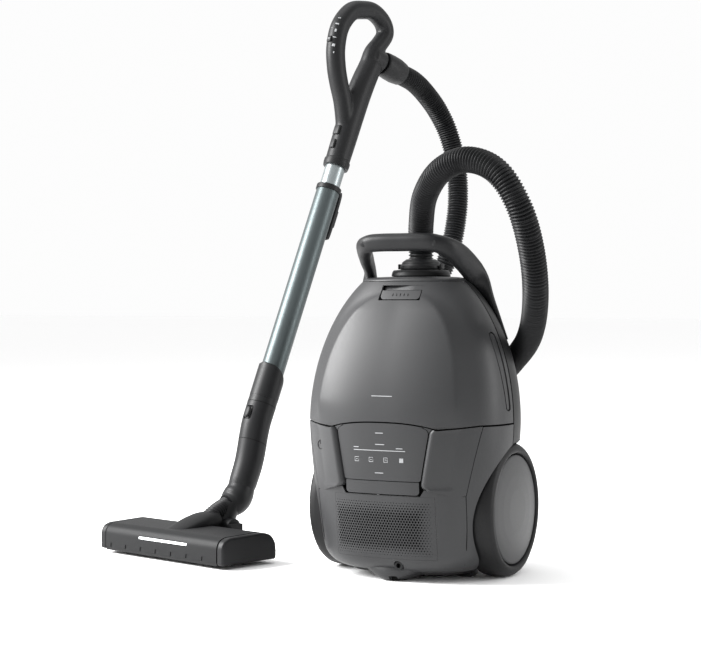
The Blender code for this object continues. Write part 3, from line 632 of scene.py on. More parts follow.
def make_latch():
    """The lid's latch: a ribbed tab in a recess whose floor is painted near-black as shade, with a hollow
    above it.
    """
    tab = skin("latch_tab", *centred(lambda z: 0.0312 - corner_cut(z - LATCH_LOW, 0.0055)), LATCH_LOW, 0.4107,
               GREY, columns=24, rows=12, inset=0.0006, wall=0.0024, edge=0.0009)
    add(tab, "lid_latch", GREY, "lid_latch")
    for i in range(LATCH_RIBS):
        x = -0.012 + 0.006 * i
        rib = body_line(f"latch_rib_{i}", [(x, 0.4025), (x, 0.406)], 0.0006, DARK, inset=0.0006)
        add(rib, "lid_latch", DARK)
    # the recess floor: a near-black sheet that paints the shade in the recess
    recess = skin("latch_recess_shade", *centred(RECESS_HALF), 0.396, 0.4115, SEAM_AND_SHADE, columns=10, rows=4,
                  inset=0.0072, wall=0.001, edge=0)
    add(recess, "lid", DARK)
    hollow = skin("latch_hollow", *centred(RECESS_HALF), 0.4112, 0.4184, GREY, columns=16, rows=4,
                  inset=0.0062, wall=0.001, edge=0, relief=lambda a, z: 0.0058 * unit((a + 6) / 12))
    add(hollow, "lid", GREY)


def teardrop(name, side, margin, inset, wall, material=DARK):
    """The long drop-shaped recess on each flank of the lid."""
    low_z, high_z = GROOVE_LOW + margin, GROOVE_HIGH - margin

    def half(z):
        wide = 0.0042 + 0.0038 * unit((z - low_z) / (high_z - low_z)) - margin
        return max(0.0002, wide - corner_cut(min(z - low_z, high_z - z), wide)) / 0.0016

    def middle(z):
        return side * (86.3 - 4.3 * (z - GROOVE_LOW) / (GROOVE_HIGH - GROOVE_LOW))

    return skin(name, lambda z: middle(z) - half(z), lambda z: middle(z) + half(z), low_z, high_z, material,
                columns=8, inset=inset, wall=wall, edge=0)


def panel_side(z):
    """Half the width of the front panel's opening."""
    return 0.06 + 0.013 * (z - PANEL_LOW_Z) / (LID_SEAM_Z - PANEL_LOW_Z)


def panel_edge(z):
    top = LID_SEAM_Z + 0.002 - z
    return panel_side(z) - 0.0009 - corner_cut(top, 0.01) - corner_cut(z - PANEL_LOW_Z, 0.003)


def flap_edge(z):
    return panel_side(PANEL_LOW_Z) - 0.003 - corner_cut(z - 0.125, 0.005)


def wing_outer(z):
    return 0.1158 + 0.021 * (z - 0.124) / 0.098


def wing_inner(z):
    top = LID_SEAM_Z + 0.003 - z
    return panel_side(z) + 0.0009 + corner_cut(top, 0.009) + corner_cut(z - 0.1335, 0.008)


def wing_relief(angle, z):
    """The pedal stands proud beside the panel and dies away outwards."""
    away = max(0.0, abs(angle) - angle_at(wing_inner(z), z))
    turn = 1 - min(1.0, away / 2.6)
    return WING_RISE * math.sqrt(1 - turn * turn) * max(0.0, 1 - away / 18)


def wing_low(angle):
    return 0.134 - 0.0095 * unit((abs(angle) - 20) / 18)


def below_lid(angle):
    return lid_seam(angle) - PLAY


def make_front():
    panel = skin("front_panel", *centred(panel_edge), PANEL_LOW_Z, below_lid, GREY, columns=70, rows=36,
                 inset=0.0007, edge=0.0007)
    add(panel, "canister", GREY, "control_panel")
    make_wings()
    flap = skin("release_flap", *centred(flap_edge), 0.125, PANEL_LOW_Z - PLAY, GREY, columns=40, rows=16,
                inset=0.0004)
    add(flap, "door_latch", GREY, "door_latch")
    # a near-black sheet behind the panel, pedals and flap: painted shade in the gaps between them
    gap_shade = skin("front_gap_shade", *centred(0.1395), 0.1232, 0.214, SEAM_AND_SHADE, columns=40, rows=12, inset=0.0088,
                   wall=0.001, edge=0)
    add(gap_shade, "canister", DARK)
    panel_marks()


def make_wings():
    """The two pedals beside the panel, each with a filler at its upper inner corner."""
    for (word, side), body in zip(SIDES, ("power_pedal", "rewind_pedal")):
        wing = skin(f"wing_{word}", *flank(side, wing_inner, wing_outer), wing_low, below_lid, GREY,
                    columns=44, relief=wing_relief, edge=0.0012, wall=0.0036)
        add(wing, body, GREY, body)
        gap = flank(side, lambda z: panel_edge(z) + CORNER_GAP, lambda z: wing_inner(z) - CORNER_GAP)
        corner = skin(f"front_corner_{word}", *gap, 0.2108, lambda a: lid_seam(a) - 0.0006, GREY, columns=10,
                      rows=10, inset=0.0006, wall=0.002, edge=0)
        add(corner, "canister", GREY)


def panel_marks():
    """Plain printed marks: a scale line, dashes, four setting squares, and a ring on the power pedal."""
    stroke("scale_line", [(-0.043 + 0.0081 * i, 0.186) for i in range(11)], 0.00065, 0.0009)
    dashes = ((-0.008, 0.012, 0.2105), (-0.008, 0.014, 0.1945), (-0.043, 0.008, 0.19), (0.024, 0.01, 0.1895),
              (-0.009, 0.013, 0.1545))
    for k, (x, wide, z) in enumerate(dashes):
        stroke(f"dash_top_{k}", [(x, z), (x + wide, z)], 0.0007, 0.0009)

    half, z = 0.003, 0.173
    corners = ((-half, -half), (half, -half), (half, half), (-half, half), (-half, -half))
    for k, x in enumerate((-0.038, -0.015, 0.008)):
        stroke(f"setting_{k}", [(x + a, z + b) for a, b in corners], 0.00055, 0.0008)
        core = 0.001 + 0.0004 * k
        stroke(f"setting_core_{k}", [(x - core, z), (x + core, z)], 0.0005, 0.0008)
    full = 0.032
    square = skin("setting_full", lambda v: angle_at(full - half, v), lambda v: angle_at(full + half, v),
                  z - half, z + half, "print_light", columns=4, rows=4, inset=0.0003, wall=0.0006, edge=0)
    add(square, "canister", GREY)

    turns = [math.radians(110 + 16 * i) for i in range(21)]
    ring = [(-0.106 + 0.0062 * math.cos(a), 0.189 + 0.0062 * math.sin(a)) for a in turns]
    stroke("power_ring", ring, 0.0005, -0.0003, "power_pedal", DARK)
    stroke("power_stroke", [(-0.106, 0.19), (-0.106, 0.1962)], 0.0005, -0.0003, "power_pedal", DARK)


def wheel_well(name, side):
    reach = WHEEL_R + WELL_GAP
    turns = [math.tau * i / 96 for i in range(96)]
    outline = [(WHEEL_Y + reach * math.cos(a), WHEEL_R + reach * math.sin(a)) for a in turns]
    return prism(name, outline, side * 0.0925, side * 0.2, SEAM_AND_SHADE)


def make_shells():
    casing = skin("casing", -91, 91, 0.0135, 0.2205, GREY, columns=110, rows=60, edge=0)
    low_z, middle_z, high_z = PANEL_LOW_Z - 0.0205, 0.1328, 0.24
    opening = [(-0.1163, low_z), (-0.064, middle_z), (-0.0582, low_z), (0.0582, low_z), (0.064, middle_z),
               (0.1163, low_z), (0.1412, high_z), (-0.1412, high_z)]
    front = prism("front_cut", opening, -0.2, CENTRE_Y - 0.005, SEAM_AND_SHADE, axis="Y")
    half, low, high = GRILLE_HALF + DOOR_GAP, GRILLE_LOW - DOOR_GAP, GRILLE_HIGH + DOOR_GAP
    door = prism("door_cut", sleeve(-half, half, low, high), -0.2, -0.06, SEAM_AND_SHADE, axis="Y")
    outlet = turned("outlet_cut", sleeve(0.0, 0.007, -0.16, -0.08), SEAM_AND_SHADE, Matrix.Translation(OUTLET_PLACE),
                    axis="Y", steps=32)
    carve(casing, wheel_well("well_a", -1), wheel_well("well_b", 1), front, door, outlet)
    add(casing, "canister", GREY, "lower_casing")
    back = skin("back_shell", 91.6, 268.4, 0.0135, TOP_Z, DARK, columns=96, rows=90, edge=0)
    carve(back, wheel_well("well_c", -1), wheel_well("well_d", 1))
    add(back, "canister", DARK, "rear_shell")
    seam = ((0.116, 0.124), (0.1155, 0.1), (0.1145, 0.078), (0.112, 0.05), (0.106, 0.026))
    for word, side in SIDES:
        points = [on_body(angle_at(side * x, z), z, 0.0002) for x, z in seam]
        line = sweep(f"fender_seam_{word}", smooth_points(points, 6), lambda t: (0.0006, 0.0006), SEAM_AND_SHADE,
                     sides=8)
        add(line, "canister", DARK)


def make_grille():
    """The exhaust door: rows of small holes, which shrink towards the edges, with a near-black sheet behind
    them as painted shade in the holes.
    """
    columns = round(2 * GRILLE_HALF / HOLE_PITCH)
    rows = round((GRILLE_HIGH - GRILLE_LOW) / (HOLE_PITCH * 0.866))
    step_x, step_z = 2 * GRILLE_HALF / columns, (GRILLE_HIGH - GRILLE_LOW) / rows
    bm = bmesh.new()

    def vertex(x, z, inset=0.0):
        return bm.verts.new(on_body(angle_at(x, z), z, inset))

    for row in range(rows):
        low, high = GRILLE_LOW + row * step_z, GRILLE_LOW + (row + 1) * step_z
        shift = 0.5 * (row % 2)
        for column in range(columns + row % 2):
            left = max(-GRILLE_HALF, -GRILLE_HALF + (column - shift) * step_x)
            right = min(GRILLE_HALF, -GRILLE_HALF + (column + 1 - shift) * step_x)
            middle, height = (left + right) / 2, (low + high) / 2
            border = [vertex(x, z) for x, z in ((left, low), (middle, low), (right, low), (right, high),
                                                (middle, high), (left, high))]
            near = min((GRILLE_HALF + middle) * 4, GRILLE_HALF - middle, (height - GRILLE_LOW) * 1.3,
                       GRILLE_HIGH - height)
            hole = HOLE_R * unit(near / 0.026) ** 0.8
            if right - left < step_x * 0.9 or hole < 0.0005:
                bm.faces.new(border)
                continue
            offsets = [(-0.75, -0.66), (0, -1), (0.75, -0.66), (0.75, 0.66), (0, 1), (-0.75, 0.66)]
            rims = [[vertex(middle + hole * a * 1.15, height + hole * b, inset) for a, b in offsets]
                    for inset in (0.0, HOLE_DEEP)]
            for k in range(6):
                bm.faces.new((border[k - 1], border[k], rims[0][k], rims[0][k - 1]))
                bm.faces.new((rims[0][k - 1], rims[0][k], rims[1][k], rims[1][k - 1]))
    bmesh.ops.remove_doubles(bm, verts=bm.verts, dist=2e-6)
    sheet = from_bmesh("grille", bm, GREY)
    add(sheet, "exhaust_door", GREY, "exhaust_door")
    # a near-black sheet behind the holes: painted shade inside them
    shade_sheet = skin("grille_hole_shade", *centred(GRILLE_HALF), GRILLE_LOW, GRILLE_HIGH, SEAM_AND_SHADE, columns=30, rows=16,
                  inset=HOLE_DEEP, wall=0.0008, edge=0)
    add(shade_sheet, "exhaust_door", DARK)


def make_top():
    socket = [(0.0225, 0.4165), (0.03, 0.4165), (0.03, 0.425), (0.035, 0.425), (0.035, 0.43),
              (0.0435, 0.4315), (0.0425, 0.437), (0.0405, 0.4402), (0.0335, 0.4408), (0.0225, 0.44)]
    add(turned("socket_ring", socket, DARK, radius=0.0012), "canister", DARK, "hose_socket")
    connector = [(0.015, 0.42), (0.0219, 0.42), (0.0219, 0.4405), (0.03, 0.4405), (0.0308, 0.443),
                 (0.0305, 0.4465), (0.0285, 0.449), (0.0278, 0.452), (0.0215, 0.4565), (0.015, 0.4565)]
    add(turned("connector_collar", connector, BLACK, radius=0.001), "hose_connector",
                BLACK, "hose_connector")
    for word in ("left", "right"):
        node = f"connector_latch_{word}"
        low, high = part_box(node)
        add(block(f"latch_key_{word}", low, high, BLACK, edge=0.001), node, BLACK, node)
    make_nose()
    make_carry_handle()


def make_nose():
    """The shoulder round the hose socket."""
    steps, rings, bm = 96, [], bmesh.new()
    shapes = [(0.0, 0.0004), (0.04, 0.0026), (0.22, 0.005), (0.55, 0.0062), (1.0, 0.0068), (1.0, 0.004),
              (0.45, 0.0022), (0.03, 0.0002)]
    for share, rise in shapes:
        ring = []
        for i in range(steps):
            edge = on_body(360 * i / steps, TOP_Z, 0.0006)
            inner = Vector((edge.x, edge.y + 0.006)).normalized() * 0.0446
            ring.append(bm.verts.new((*edge.xy.lerp(inner, share), TOP_Z + rise)))
        rings.append(ring)
    join_rings(bm, rings + rings[:1], capped=False)
    add(from_bmesh("shoulder", bm, GREY), "canister", GREY, "nose_cover")


def make_carry_handle():
    """A bar in front of the hose, whose broad legs sweep back down the seam of the rear shell."""
    half = [(0.0, -0.071, 0.4795), (0.03, -0.0705, 0.4795), (0.052, -0.067, 0.478), (0.065, -0.055, 0.4725),
            (0.073, -0.037, 0.464), (0.0795, -0.013, 0.449), (0.0865, 0.008, 0.429), (0.0965, 0.019, 0.404),
            (0.111, 0.021, 0.375), (0.1285, 0.017, 0.34)]
    route = [(-x, y, z) for x, y, z in half[:0:-1]] + half
    points = smooth_points(route, 8)

    def size(share):
        out = abs(share - 0.5) * 2
        thin = max(0.0, (out - 0.62) / 0.38)
        tall = 0.0128 + 0.005 * unit((out - 0.25) / 0.25) - 0.016 * thin
        wide = 0.0116 - 0.0026 * unit((out - 0.35) / 0.2) - 0.007 * thin
        return max(0.0012, tall), max(0.0012, wide)

    bar = sweep("carry_bar", points, size, BLACK, sides=36, towards=(0.0, -0.35, 1.0), power=2.4,
                fixed=True)
    add(bar, "canister", BLACK, "carry_handle")
    for word, side in SIDES:
        cap = turned(f"bar_cap_{word}", [(0.0, 0.0), (0.0042, 0.0), (0.0046, 0.0016), (0.0, 0.0022)], DARK,
                     placed(Matrix(), (side * 0.056, -0.0765, 0.4775), 90), steps=32, radius=0.0006)
        add(cap, "canister", BLACK)


def make_tongue():
    """The bulge under the grille that the parked cleaner leans on, with a slot in its front."""
    bm, rings = bmesh.new(), []
    for height, half, front in ((0.023, 0.066, -0.11), (0.017, 0.058, -0.113), (0.011, 0.048, -0.1135),
                                (0.006, 0.038, -0.112), (0.0028, 0.031, -0.1095), (0.0008, 0.026, -0.106),
                                (0.0, 0.022, -0.102)):
        middle, deep = (front + 0.02) / 2, (0.02 - front) / 2
        ring = []
        for k in range(64):
            c, s = math.cos(math.tau * k / 64), math.sin(math.tau * k / 64)
            ring.append(bm.verts.new((half * c, middle + deep * math.copysign(abs(s) ** 0.7, s), height)))
        rings.append(ring)
    join_rings(bm, rings)
    tongue = from_bmesh("foot_tongue", bm, GREY, sharp=60)
    slot = block("slot_cut", (0.002, -0.125, -0.002), (0.014, -0.104, 0.0075), SEAM_AND_SHADE, edge=0.002)
    carve(tongue, slot)
    add(tongue, "canister", DARK)
    # a near-black block at the back of the slot: painted shade in it
    shade_sheet = block("slot_back_shade", (0.001, -0.1045, 0.0006), (0.015, -0.103, 0.0085), SEAM_AND_SHADE, edge=0.0005)
    add(shade_sheet, "canister", DARK)


def make_foot():
    bm = bmesh.new()
    outline = [on_body(3.6 * i, BASE_Z, 0.002) for i in range(100)]
    layers = [[bm.verts.new((p.x * k, CENTRE_Y + (p.y - CENTRE_Y) * k, z)) for p in outline]
              for k, z in ((0.985, 0.008), (1.0, 0.009), (1.0, 0.012))]
    join_rings(bm, layers)
    tail = from_bmesh("tail_plate", bm, DARK)
    add(tail, "canister", DARK, "parking_foot")
    heel = prism("heel_pad", [on_body(a, BASE_Z, 0.004)[:2] for a in range(90, 271, 5)], 0.0, 0.0082, DARK,
                 axis="Z")
    add(soften(heel, 0.0012), "canister", DARK)
    make_tongue()
    bush = sleeve(0.0034, 0.0066, -0.1172, -0.105)
    add(turned("outlet_bush", bush, BLACK, Matrix.Translation(OUTLET_PLACE), axis="Y",
                       steps=48, radius=0.0006), "canister", BLACK, "cord_outlet_bush")


# ---- wheels ----
def make_wheels():
    for word, side in SIDES:
        centre = Matrix.Translation((0, WHEEL_Y, WHEEL_R))
        tyre = [(0.079, 0.1005), (0.09, 0.1005), (0.0945, 0.104), (0.096, 0.11), (0.096, 0.133),
                (0.0948, 0.139), (0.0915, 0.1435), (0.087, 0.1458), (0.083, 0.146), (0.0808, 0.144),
                (0.08, 0.1415), (0.079, 0.14)]
        hub = [(0.0, 0.14), (0.0064, 0.14), (0.0064, 0.1005), (0.012, 0.1005), (0.012, 0.1385),
               (0.0745, 0.1385), (0.0745, 0.1005), (0.0785, 0.1005),
               (0.0785, 0.1425), (0.0765, 0.1438), (0.066, 0.145),
               (0.05, 0.1464), (0.03, 0.1475), (0.0, 0.148)]
        kinds = (("rim", tyre, "tyre_black", "tyre"), ("cap", hub, "cap_grey", "wheel"))
        for name, profile, material, node in kinds:
            piece = turned(f"{name}_{word}", [(r, side * h) for r, h in profile], material, centre, axis="X",
                           steps=128, radius=0.0016)
            add(piece, f"wheel_{word}", material, f"{node}_{word}")


def make_castor():
    fork = NODES["castor_fork"]
    soften(fork, 0.0008, angle=40)
    tyre = [(0.0026, -0.0085), (0.012, -0.0085), (0.014, -0.006), (0.014, 0.006), (0.012, 0.0085),
            (0.0026, 0.0085)]
    wheel = turned("castor_tyre", tyre, "tyre_black", Matrix.Translation(CASTOR_PLACE), axis="X", steps=64)
    add(wheel, "castor_wheel", "tyre_black", "castor_wheel")


# ---- hose ----
def make_hose():
    points = smooth_points(HOSE_ROUTE, 12)
    centres = even_points(points, HOSE_RIDGE / 6)
    profile = (0.0, -0.0006, -0.0019, -0.0026, -0.0019, -0.0006)
    bm = bmesh.new()
    sides, across, rings = 28, Vector((1, 0.01, 0.02)), []
    for i, place in enumerate(centres):
        ahead = (centres[min(i + 1, len(centres) - 1)] - centres[max(i - 1, 0)]).normalized()
        across = (across - across.dot(ahead) * ahead).normalized()
        up = ahead.cross(across)
        radius = HOSE_D / 2 + profile[i % 6]
        turns = [math.tau * k / sides for k in range(sides)]
        rings.append([bm.verts.new(place + radius * (math.cos(a) * across + math.sin(a) * up))
                      for a in turns])
    join_rings(bm, rings)
    hose = from_bmesh("hose_tube", bm, "hose_black", sharp=75)
    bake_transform(hose)
    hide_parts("hose")


# ---- wand ----
def make_tubes():
    outer = turned("tube_outer", sleeve(TUBE_R - 0.0015, TUBE_R, 0.101, 0.497), "tube_metal", WAND,
                   radius=0.0004)
    add(outer, "canister", "tube_metal", "outer_tube")
    inner = turned("tube_inner", sleeve(0.0158, 0.017, 0.2, 0.556), "light_metal", WAND, radius=0.0003)
    add(inner, "handle", "tube_metal", "inner_tube")
    lip = turned("tube_lip", sleeve(0.0199, 0.0212, 0.488, 0.4963), DARK, WAND, radius=0.0005)
    add(lip, "canister", BLACK, "tube_collar")
    track = [(0, 0.0215, 0.409), (0, 0.0236, 0.42), (0, 0.024, 0.45), (0, 0.0236, 0.48), (0, 0.0222, 0.496)]
    pad = sweep("slide_track", smooth_points(track, 6),
                lambda t: (0.0046 * min(1, 8 * t + 0.15, 8 * (1 - t) + 0.5), 0.01 * min(1, 6 * t + 0.3)),
                BLACK, towards=(0, 1, 0), at=WAND, power=3.0)
    add(pad, "canister", BLACK)
    key = block("slide_key", (-0.008, 0.027, 0.435), (0.008, 0.0305, 0.465), BLACK, WAND, edge=0.0014)
    add(key, "slide_lock", BLACK, "slide_lock")


def lean_back(obj):
    """Bends a fitting back a little towards its foot, and puts it on the wand."""
    for vert in obj.data.vertices:
        share = unit((0.085 - vert.co.z) / 0.085)
        vert.co.y += 0.011 * share * share * (3 - 2 * share)
    obj.data.transform(WAND)
    return obj


def make_connector():
    """The lower fitting: a straight body with seams, bent back at its foot, and its push button."""
    heights = [-0.02 + 0.01 * i for i in range(12)]
    body = [(0.015, -0.0297), (0.0215, -0.0297)]
    body += [(0.0226 + 0.0009 * min(1, k / 5), h) for k, h in enumerate(heights)]
    body += [(0.0235, 0.105), (0.0232, 0.118), (0.0199, 0.118), (0.0199, 0.1), (0.015, 0.099)]
    body += [(0.015, h) for h in heights[-2::-1]]
    shell = lean_back(turned("connector_shell", body, BLACK, radius=0.0012))
    pocket = block("pocket", (-0.0078, -0.03, 0.0745), (0.0078, -0.0193, 0.0975), BLACK, WAND, edge=0.003)
    carve(shell, pocket)
    add(shell, "canister", BLACK, "lower_connector")
    make_connector_tongue()
    for k, height in enumerate((0.106, 0.044)):
        profile = sleeve(0.023, 0.02375, height, height + 0.0008)
        seam = lean_back(turned(f"connector_seam_{k}", profile, SEAM_AND_SHADE, radius=0.0002))
        add(seam, "canister", BLACK)
    button = sweep("push_button", [(0, -0.0236 - 0.0007 * k, 0.086) for k in range(6)],
                   lambda t: (0.0098 - 0.003 * t ** 4, 0.0064 - 0.0022 * t ** 4), DARK, towards=(0, 0, 1),
                   at=WAND, sides=32)
    add(button, "connector_button", BLACK, "connector_button")


def make_connector_tongue():
    """The rounded tongue that runs up the front of the tube."""
    bm = bmesh.new()
    grids = []
    for radius in (0.0236, 0.02):
        grid = []
        for row in range(21):
            share = row / 20
            open_to = 150 * math.sqrt(max(0.0, 1 - share ** 2.2)) + 2
            turns = [math.radians(open_to * (k / 24 - 1)) for k in range(49)]
            grid.append([bm.verts.new((radius * math.sin(a), -radius * math.cos(a), 0.117 + 0.056 * share))
                         for a in turns])
        grids.append(grid)
    close_shell(bm, grids)
    tongue = from_bmesh("connector_tongue", bm, BLACK, at=WAND)
    add(soften(tongue, 0.0008), "canister", BLACK)


def make_moulding():
    """The barrel, the loop grip and the hose branch, grown together into one moulding."""
    line = [(0, 0, 0.537), (0, 0, 0.58), (0, 0, 0.63), (0, 0.001, 0.67), (0, 0.004, 0.705),
            (0, 0.0085, 0.735)]
    barrel = sweep("barrel", smooth_points(line, 6),
                   lambda t: (0.0205 + 0.0022 * math.sin(math.pi * min(1, t * 1.1)), 0.0205), BLACK,
                   towards=(0, 1, 0), sides=40)
    loop = [(0, -0.004, 0.6), (0, -0.014, 0.62), (0, -0.03, 0.645), (0, -0.05, 0.668), (0, -0.066, 0.69),
            (0, -0.08, 0.719), (0, -0.085, 0.756), (0, -0.072, 0.792), (0, -0.048, 0.81), (0, -0.024, 0.82),
            (0, 0.004, 0.816), (0, 0.018, 0.801), (0, 0.013, 0.779), (0, 0.003, 0.755), (0, 0.002, 0.725)]
    grip = sweep("grip", smooth_points(loop, 6),
                 lambda t: (0.0148 + 0.0018 * math.sin(math.pi * min(1, 1.4 * t)), 0.016), BLACK,
                 towards=(0, 1, 0), sides=32)
    branch = turned("branch", sleeve(0.0, 0.019, -0.006, 0.0215), BLACK,
                    placed(Matrix(), (0, 0.008, 0.7479), CUFF_TURN), steps=48)
    carve(barrel, grip, branch, operation="UNION")
    remesh = barrel.modifiers.new("grow", "REMESH")
    remesh.mode = "VOXEL"
    remesh.voxel_size = 0.0016
    calm = barrel.modifiers.new("calm", "SMOOTH")
    calm.factor = 0.6
    calm.iterations = 14
    bake(barrel)
    barrel.data.transform(WAND)
    barrel.data.shade_smooth()
    barrel.data.materials.clear()
    barrel.data.materials.append(MATERIALS[BLACK])
    barrel.name = "handle_moulding"
    add(barrel, "handle", BLACK, "handle_body")


def make_handle():
    """The moulding with its ring, keys, printed marks and hose cuff."""
    make_moulding()
    ring = turned("handle_ring", [(0.0174, 0.533), (0.0214, 0.533), (0.0222, 0.5385), (0.0222, 0.545),
                                  (0.02, 0.547), (0.0174, 0.547)], DARK, WAND, radius=0.0008)
    add(ring, "handle", BLACK)
    pieces = (("suction_key", "suction_slider", (-0.005, -0.0242, 0.56), (0.005, -0.0205, 0.576)),
              ("release_key", "release_button", (-0.0065, -0.0246, 0.585), (0.0065, -0.0205, 0.602)))
    for name, node, low, high in pieces:
        add(block(name, low, high, DARK, WAND, edge=0.0016), node, BLACK, node)
    for number, height in ((1, 0.72), (2, 0.74)):
        key = block(f"keypad_{number}", (-0.0042, -0.101, height), (0.0042, -0.098, height + 0.01), DARK,
                    WAND, edge=0.001)
        add(key, f"key_{number}", DARK, f"key_{number}")
        mark = block(f"key_mark_{number}", (-0.002, -0.1013, height + 0.0042),
                     (0.002, -0.1009, height + 0.0058), "print_light", WAND, edge=0.0001)
        add(mark, f"key_{number}", DARK)
    spots = ((-0.084, 0.764, 0.0022, 0.0006), (-0.0852, 0.752, 0.003, 0.001), (-0.0842, 0.74, 0.0016, 0.0026),
             (-0.0824, 0.728, 0.0028, 0.0007), (-0.0788, 0.715, 0.0024, 0.0022),
             (-0.0735, 0.704, 0.001, 0.0016))
    for k, (deep, height, half, tall) in enumerate(spots):
        face = placed(WAND, (0, deep, height), 30, "Z")
        mark = block(f"grip_mark_{k}", (-half, -0.0182, -tall), (half, -0.015, tall), "print_light", face,
                     edge=0.0003)
        add(mark, "handle", BLACK)
    cuff = [(0.015, 0.0), (0.0205, 0.0), (0.0218, 0.006), (0.0225, 0.02), (0.0225, 0.034), (0.0212, 0.043),
            (0.0203, 0.05), (0.015, 0.05)]
    add(turned("cuff_shell", cuff, BLACK, CUFF, radius=0.002), "hose_cuff", BLACK,
                "hose_cuff")


# ---- neck and floor head ----
def make_neck():
    bend = smooth_points([(0, 0.011, -0.0285), (0, 0.0104, -0.04), (0, 0.007, -0.051), (0, 0.0005, -0.06),
                          (0, -0.007, -0.066)], 5)
    elbow = sweep("elbow", bend, lambda t: (0.0214 + 0.003 * math.sin(math.pi * t) - 0.004 * t ** 3,) * 2,
                  BLACK, sides=48, towards=(0, 1, 0), at=WAND)
    add(elbow, "canister", BLACK, "neck_elbow")
    turn = placed(STAND, HINGE_PLACE, -NECK_LEAN)
    post = turned("neck_post", [(0.0, 0.0), (0.015, 0.0), (0.0168, 0.008), (0.0172, 0.024), (0.019, 0.0385),
                                (0.0, 0.0385)], BLACK, turn, radius=0.002, steps=64)
    add(post, "neck", BLACK, "neck_duct")
    make_bellows()
    knuckle = turned("hinge_knuckle", [(0.0046, -0.03), (0.014, -0.03), (0.015, -0.0285), (0.015, 0.0285),
                                       (0.014, 0.03), (0.0046, 0.03)], BLACK,
                     STAND @ Matrix.Translation(HINGE_PLACE), axis="X", steps=64)
    add(knuckle, "neck", BLACK)


def make_bellows():
    """The short ribbed duct from the elbow forward into the head."""
    route = smooth_points([(0, 0.082, 0.0725), (0, 0.071, 0.0686), (0, 0.058, 0.0625), (0, 0.044, 0.054)], 30)
    bellows = sweep("bellows", route, lambda t: (0.0128 + 0.0011 * math.cos(math.tau * 10 * t),) * 2,
                    BLACK, sides=40, towards=(0, 0, 1), at=STAND, sharp=75)
    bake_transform(bellows)


def head_outline(low):
    """The head's rounded side view, open below, with its lower edge at a height."""
    top = [(-HEAD_DEEP, 0.033), (-0.0505, 0.0415), (-0.04, HEAD_TALL), (0.03, HEAD_TALL + 0.002),
           (0.046, 0.043), (HEAD_DEEP, 0.03)]
    return rounded([(-HEAD_DEEP, low), *top, (HEAD_DEEP, low)], 0.006, 6)


def make_head():
    inner = HEAD_HALF - 0.014
    inside = [(0.052, 0.01), (0.052, 0.029), (0.044, 0.04), (0.029, 0.045), (-0.039, 0.043), (-0.048, 0.039),
              (-0.052, 0.033), (-0.052, 0.01)]
    cover = prism("head_shell", head_outline(0.01) + inside, -inner, inner, "head_grey", at=STAND)
    cuts = []
    for k in range(7):
        x = -0.112 + 0.0355 * k
        notch = [(x - 0.0062, 0.005), (x + 0.0062, 0.005), (x + 0.005, 0.0165), (x - 0.005, 0.0165)]
        cuts.append(prism(f"notch_{k}", notch, -0.06, -0.045, SEAM_AND_SHADE, axis="Y", at=STAND))
    cuts.append(block("lamp_cut", (-0.048, -0.06, 0.0282), (0.063, -0.052, 0.0332), SEAM_AND_SHADE, STAND,
                      edge=0.0006))
    carve(cover, *cuts)
    add(cover, "floor_head", BLACK, "head_cover")
    for word, side in SIDES:
        low, high = sorted((side * (inner + 0.0004), side * HEAD_HALF))
        cap = prism(f"end_block_{word}", head_outline(0.006), low, high, BLACK, at=STAND)
        add(soften(cap, 0.0035, 5), "floor_head", BLACK, f"end_cap_{word}")
    lamp = block("lamp_lens", (-0.047, -0.0562, 0.029), (0.062, -0.053, 0.0325), "light_lens", STAND,
                 edge=0.0005)
    add(lamp, "floor_head", "light_lens", "light_lens")
    hump = sweep("duct_hump", smooth_points([(0, -0.038, 0.0405), (0, -0.015, 0.044), (0, 0.01, 0.049),
                                             (0, 0.034, 0.0525), (0, 0.0535, 0.052)], 6),
                 lambda t: (0.003 + 0.011 * math.sin(math.pi / 2 * min(1.0, t * 1.1)),
                            0.01 + 0.015 * math.sin(math.pi * min(1.0, 0.1 + t * 0.6))),
                 "head_grey", towards=(0, 0, 1), at=STAND, power=2.4)
    add(hump, "floor_head", BLACK)
    pedal = block("pedal_tab", (-0.06, 0.057, 0.03), (-0.044, 0.076, 0.036), DARK, STAND, edge=0.0018)
    add(pedal, "wand_pedal", DARK, "wand_pedal")
    make_brush()


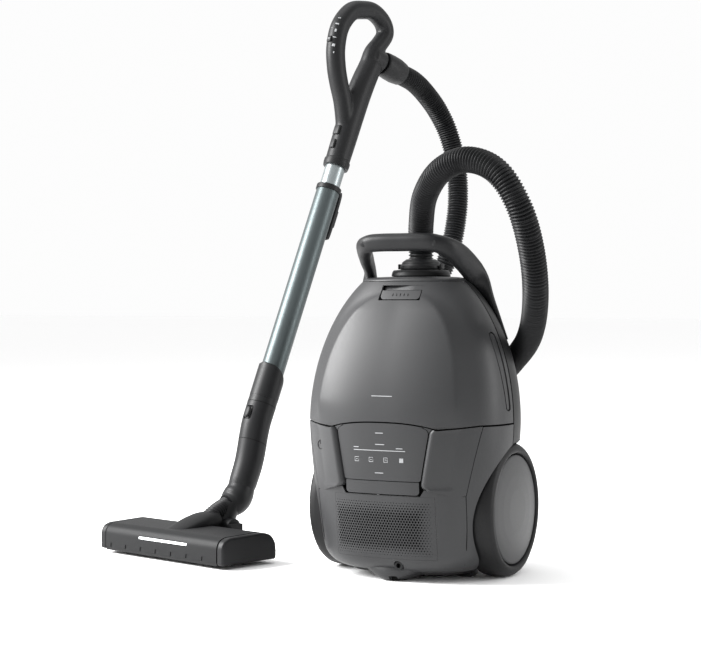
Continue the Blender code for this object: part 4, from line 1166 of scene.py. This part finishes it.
def make_brush():
    """A roller with two spirals of bristle tufts."""
    axis = STAND @ Matrix.Translation(BRUSH_PLACE)
    core = [(0.0, -0.118), (0.006, -0.118), (0.006, -0.11), (0.011, -0.11), (0.011, 0.11),
            (0.006, 0.11), (0.006, 0.118), (0.0, 0.118)]
    roll = turned("brush_core", core, BLACK, axis, axis="X", steps=40)
    add(roll, "brush_roll", "bristle_dark", "brush_roll")
    bm = bmesh.new()
    for row in range(4):
        for i in range(54):
            x = -0.106 + 0.004 * i
            angle = math.tau * row / 4 + i * 0.11
            out = Vector((0, math.cos(angle), math.sin(angle)))
            side = Vector((0, -out.z, out.y)) * 0.0007
            along = Vector((0.0012, 0, 0))
            corners = (side + along, side - along, -side - along, -side + along)
            foot, tip = Vector((x, 0, 0)) + out * 0.0105, Vector((x, 0, 0)) + out * 0.0162
            lower = [bm.verts.new(foot + p) for p in corners]
            upper = [bm.verts.new(tip + p * 1.35) for p in corners]
            join_rings(bm, [lower, upper])
    add(from_bmesh("brush_tufts", bm, "bristle_dark", at=axis), "brush_roll", "bristle_dark")


# ---- inside ----
def make_bag():
    """The dust bag: a soft pouch with creases and a stitched seam."""
    bm = bmesh.new()
    bmesh.ops.create_icosphere(bm, subdivisions=6, radius=1.0)
    for vert in bm.verts:
        n = vert.co.normalized()
        crumple = noise.fractal(n * 2.2, 0.9, 2.0, 4) * 0.03 - 0.035 * abs(noise.noise(n * 5.0))
        seam = 0.035 * math.exp(-(n.y / 0.035) ** 2)
        radius = 0.97 + crumple + seam
        vert.co = Vector((n.x * 0.094, n.y * 0.06, n.z * 0.074)) * radius + Vector((0, -0.012, 0.298))
    bag = from_bmesh("dust_pouch", bm, "bag_fabric", sharp=180)
    add(bag, "canister", "bag_fabric", "dust_bag")


def finish_nodes():
    """Procedural materials for the CAD nodes that stay."""
    slots = {row["node"]: row["material_slot"] for row in frame["record"]["subparts"]}
    for name, node in NODES.items():
        node.data.materials.clear()
        node.data.materials.append(MATERIALS[slots[name]])


make_materials()
set_stage()
finish_nodes()
make_lid()
make_front()
make_shells()
make_grille()
make_top()
make_foot()
make_wheels()
make_castor()
make_hose()
make_tubes()
make_connector()
make_handle()
make_neck()
make_head()
make_bag()
